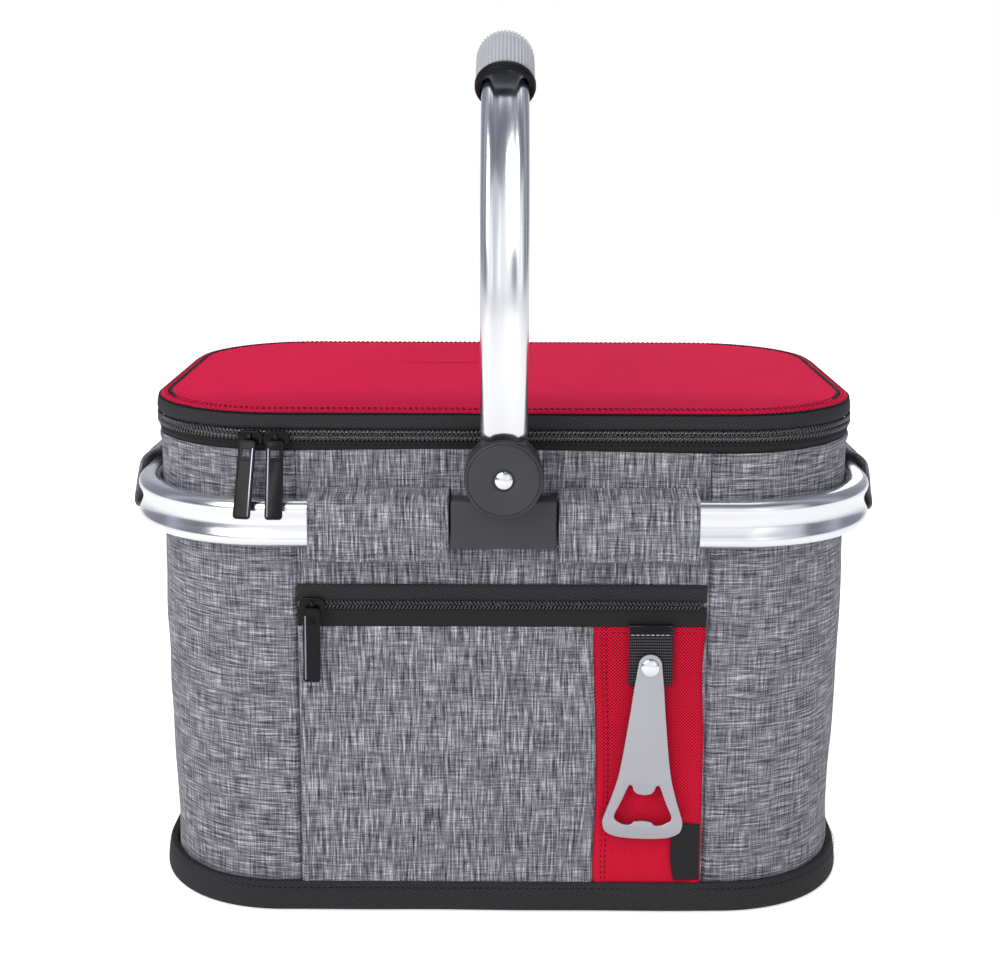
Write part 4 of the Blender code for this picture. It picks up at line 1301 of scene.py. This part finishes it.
def make_lid_cloth():
    """The red top: rolled over the band at its rim, grooved for the piping, padded inside that."""
    rings = [(0.0006, 0.2942), (-0.0002, 0.2955), (-0.0012, 0.2964), (-0.0026, 0.2968),
             (-0.0042, 0.2966), (-0.0052, 0.2961), (-0.0060, 0.2966), (-0.0072, 0.2969)]
    rings += [(-inset, LID_TOP) for inset in (0.010, 0.016, 0.026, 0.040, 0.058, 0.078, 0.100, 0.120)]
    stops = stops_round(0.005)
    inner_limit = CORNER * 0.985
    verts = []
    for offset, height in rings:
        for s in stops:
            place, normal = wall(s)
            spot = place + normal * max(offset, -inner_limit)
            if offset < -inner_limit:
                rest = (-offset - inner_limit) / (HALF_DEPTH - inner_limit)
                spot.y *= 1 - rest
                spot.x = math.copysign(max(abs(spot.x) - rest * 0.02, 0.0), spot.x)
            rise = crown(spot.x, spot.y) * ease(-offset, 0.006, 0.03)
            pucker = 0.00025 * math.sin(s * 520) * bump_at(offset + 0.008, 0.004)
            verts.append(Vector((spot.x, spot.y, height + rise + pucker)))
    top = mesh_from("lid_cloth", verts, quads(len(rings), len(stops), closed=True))
    with edited(top.data) as work:
        innermost = [v for v in work.verts if v.index >= (len(rings) - 1) * len(stops)]
        bmesh.ops.remove_doubles(work, verts=innermost, dist=0.0004)
        loose = [e for e in work.edges if e.is_boundary and e.verts[0].co.z > 0.2965]
        bmesh.ops.holes_fill(work, edges=loose, sides=0)
    layer = top.data.uv_layers.new(name="UVMap")
    for loop in top.data.loops:
        layer.data[loop.index].uv = top.data.vertices[loop.vertex_index].co.xy
    thicken(top, FABRIC)
    finish_piece(top, "red_lid", "lid", ("lid_top_panel",))


def make_lid():
    make_lid_cloth()

    def sink(s):
        """The piping lies open round the two ends and sinks into its seam elsewhere."""
        t = abs(s)
        ends = ease(t, 0.196, 0.222) * (1 - ease(t, HALF_GIRTH - 0.155, HALF_GIRTH - 0.105))
        return -0.0024 * (1 - ends)

    line = loft("lid_cord", wall_frames(stops_round(0.005), up=sink),
                cord_section((-0.0054, 0.2965), (0.0014, 0.0010)), closed=True)
    finish_piece(line, "thread_dark", "lid", ("lid_piping",))
    around("lid_seam_cord", cord_section((0.0004, 0.2946), (0.0009, 0.0007)), "thread_dark", "lid",
           ())

    lines = steps_between(-HALF_GIRTH, HALF_GIRTH, 0.004)
    for tag, inset in (("a", -0.0026), ("b", -0.0066)):
        stitches(f"lid_stitches_{tag}", wall_line(lines, inset, 0.29695), lambda p: UP,
                 "thread_red", "lid")

    pad = lid_slab("lid_pad", [(-0.0020, 0.2868), (-0.0012, 0.2900), (-0.0016, 0.2935),
                               (-0.0050, 0.2950)], 0.2848, 0.2955)
    finish_piece(pad, "foam", "lid", ("lid_foam",))
    lining = lid_slab("lid_lining", [(-0.0022, 0.2834), (-0.0016, 0.2840)], 0.2833, 0.2843)
    finish_piece(lining, "film", "lid", ("lid_liner",))


def lid_slab(name, rim, low, high):
    """A closed pad: a face below, the rim's (u, z) points, and a face above."""
    profile = [(rim[0][0] - 0.004, low)] + rim + [(rim[-1][0] - 0.006, high)]
    stops = stops_round(0.006)
    verts, uvs, faces = wall_rings(profile, stops)
    faces.append(tuple(range(len(stops)))[::-1])
    faces.append(tuple(range(len(verts) - len(stops), len(verts))))
    return outward(mesh_from(name, verts, faces, uvs))


# --- Zip sliders, pulls and opener -----------------------------------------------

def pull_outline(half, top, foot, corner):
    middles = ((half - corner, top - corner), (corner - half, top - corner),
               (corner - half, corner - foot), (half - corner, corner - foot))
    return [point for k, middle in enumerate(middles)
            for point in arc(middle, corner, 90 * k, 90 * k + 90, 6)]


def box_outline(x0, x1, y0, y1):
    return [(x0, y0), (x1, y0), (x1, y1), (x0, y1)]


def make_slider(kind, carriage, proud, length, tilt):
    """A slider with its bridge, and a pull with a raised rim round a blank field and a painted
    highlight strip along one edge.
    """
    low, high = SLIDER_U
    carrier = f"{kind}_slider"
    outline = arc((0.0030, 0), 0.0046, -75, 75, 10) + arc((-0.0030, 0), 0.0046, 105, 255, 10)
    body = plate(f"{kind}_slider_body", [outline], high - low, 0.0007,
                 carriage @ Matrix.Translation((0, -(proud + (low + high) / 2), 0)) @ UPRIGHT)
    rise = BRIDGE_U - high
    hump = [(-0.0022, 0.0), (-0.0020, 0.0016), (-0.0010, rise), (0.0010, rise), (0.0020, 0.0016),
            (0.0022, 0.0)]
    verts = [carriage @ Vector((x, -(proud + high - 0.0004) - v, u * 1.4))
             for x in (-0.0012, 0.0012) for u, v in hump]
    count = len(hump)
    faces = quads(2, count, closed=True)
    faces += [tuple(range(count)), tuple(range(count, 2 * count))[::-1]]
    bridge = bevel(outward(mesh_from(f"{kind}_bridge", verts, faces)), 0.0004, 3, 30)
    slider = joined(carrier, [body, bridge])
    finish_piece(slider, "slider", carrier, (f"{kind}_zip_slider",))
    crease_shading(slider, 35)

    hang = carriage @ Matrix.Translation((0, -(proud + PULL_AXIS_U), -PULL_AXIS_DROP)) \
        @ Matrix.Rotation(-tilt, 4, "X") @ UPRIGHT
    half = PULL_WIDTH / 2
    outline = pull_outline(half, PULL_TOP, length, 0.002)
    inner = pull_outline(half - 0.0010, PULL_TOP - 0.0010, length - 0.0010, 0.0014)
    slot = box_outline(-0.0024, 0.0024, -0.0085, -0.0040)
    cross = box_outline(0.0004 - half, half - 0.0004, -0.0105, -0.0095)
    parts = [plate(f"{kind}_pull_{part}", outlines, thickness, edge, hang)
             for part, outlines, thickness, edge in (
                 ("core", [outline, slot], PULL_THICK * 0.62, 0.0002),
                 ("rim", [outline, inner], PULL_THICK, 0.00035),
                 ("bar", [cross], PULL_THICK, 0.0003))]
    rider = f"{kind}_pull"
    pull = joined(rider, parts)
    finish_piece(pull, "slider", rider, (f"{kind}_pull_tab",))
    crease_shading(pull, 35)

    # Painted highlight: a strip of light grey metal along one long edge of each pull, standing in for
    # the light its raised rim catches
    near = (half - 0.0014) * (1 if kind == "left" else -1)
    painted_glint_edge = box_outline(near - 0.00045, near + 0.00045, 0.0016 - length, -0.0035)
    shine = plate(f"{kind}_pull_glint", [painted_glint_edge], 0.0005, 0.0002,
                  hang @ Matrix.Translation((0, 0, PULL_THICK / 2 - 0.0001)))
    finish_piece(shine, "glint", rider)


def make_sliders():
    swing = math.asin((LEFT_SLIDER_X - FRONT_RUN) / CORNER)
    height = ZIP_Z - SLIDER_DROP
    corner = Vector((-FRONT_RUN - CORNER * math.sin(swing),
                     CORNER - HALF_DEPTH - CORNER * math.cos(swing), height))
    left = Matrix.Translation(corner) @ Matrix.Rotation(-swing, 4, "Z")
    right = Matrix.Translation((-RIGHT_SLIDER_X, -HALF_DEPTH, height))
    pocket = Matrix.Translation((-POCKET_SLIDER_X, -HALF_DEPTH, POCKET_ZIP_Z))
    for kind, carriage, proud, length, tilt in (("left", left, 0, 0.0430, 18.5),
                                                ("right", right, 0, 0.0430, 18.5),
                                                ("pocket", pocket, 0.0014, 0.0420, 2)):
        make_slider(kind, carriage, proud, length, math.radians(tilt))


def make_webbing():
    """The opener's loop: webbing doubled round its lower end, a folded lip and a stitch row."""
    low, high = WEBBING_U
    x0, x1 = WEBBING_X
    rows = steps_between(WEBBING_BOTTOM, POCKET_TOP + 0.0012, 0.002)
    turn = [((low + high) / 2 + 0.0012 * math.cos(a), WEBBING_BOTTOM + 0.0012 * (math.sin(a) - 0.2))
            for a in (-2.3, -1.57, -0.8)]
    line = [(low + 0.0004, z) for z in reversed(rows)] + turn + [(high - 0.0001, z) for z in rows]
    strap = grid("opener_webbing", steps_between(x0, x1, 0.002, (0.0006,)), range(len(line)),
                 lambda x, k: Vector((x, -HALF_DEPTH - line[k][0], line[k][1])), lengths(line))
    thicken(strap, 0.0010)
    finish_piece(strap, "webbing", "opener_loop", ("opener_strap",))

    fold = [(x0 + 0.0006, 0.0002), (x1 - 0.0032, 0.0012), (x1 - 0.0012, -0.0012),
            (x1 - 0.0012, -0.0028), (x0 + 0.0006, -0.0036)]
    lip = plate("webbing_lip", [fold], 0.0010, 0.0004,
                Matrix.Translation((0, -HALF_DEPTH - high - 0.0004, POCKET_TOP)) @ UPRIGHT)
    finish_piece(lip, "webbing", "opener_loop")
    seam = [Vector((x, -HALF_DEPTH - high - 0.0003, POCKET_TOP - 0.0045))
            for x in (x0 + 0.0008, x1 - 0.0008)]
    stitches("webbing_stitches", seam, lambda p: FORWARD, "thread_light", "opener_loop",
             0.0021, 0.0007, 0.00034)


def mirrored(half):
    """A closed outline from its right half, which starts and ends on the middle line."""
    return half + [(-x, y) for x, y in reversed(half[1:-1])]


def make_opener():
    make_webbing()
    plate_u = sum(OPENER_U) / 2
    spot = Matrix.Translation((OPENER_RIVET[0], -HALF_DEPTH - plate_u, OPENER_RIVET[1]))
    lean = spot @ Matrix.Rotation(OPENER_TILT, 4, "Y") @ UPRIGHT
    head = arc((0, 0.0013), 0.0068, 90, 0, 12)
    shank = spline_through(
        [(0.0068, 0.0013), (0.0084, -0.0109), (0.0108, -0.0330), (0.0146, -0.0622),
         (0.0184, -0.0774), (0.0211, -0.0856), (0.0229, -0.0915), (0.0230, -0.0950),
         (0.0214, -0.0990), (0.0156, -0.1018), (0.0075, -0.1028), (0.0, -0.1030)], 6)
    jaw = spline_through(
        [(0.0, -0.0764), (0.0040, -0.0756), (0.0060, -0.0735), (0.0068, -0.0712),
         (0.0086, -0.0706), (0.0104, -0.0745), (0.0135, -0.0822), (0.0162, -0.0882),
         (0.0160, -0.0914), (0.0120, -0.0940), (0.0072, -0.0945), (0.0048, -0.0926),
         (0.0, -0.0918)], 4)
    pin_hole = arc((0, 0), 0.0025, 0, 345, 23)
    opener = plate("opener_plate", [mirrored(head + shank[1:]), mirrored(jaw), pin_hole],
                   OPENER_U[1] - OPENER_U[0], 0.0004, lean)
    finish_piece(opener, "steel", "opener", ("bottle_opener",))
    crease_shading(opener, 30)

    top = OPENER_U[1] - plate_u + 0.0003
    foot_u = WEBBING_U[0] + 0.0003 - plate_u
    profile = [(0, top + 0.0015), (0.0014, top + 0.00145), (0.0028, top + 0.0012),
               (0.0041, top + 0.0008), (0.0050, top + 0.0003), (0.0053, top), (0.0019, top),
               (0.0019, foot_u), (0, foot_u)]
    rivet = lathe("opener_pin", profile, spot @ UPRIGHT, 48)
    finish_piece(rivet, "rivet", "opener_loop", ("opener_rivet",))


make_stage()
make_looks()
make_body()
make_main_zip()
make_pocket()
make_ring()
make_sleeves()
make_side_straps()
make_handle()
make_lid()
make_sliders()
make_opener()
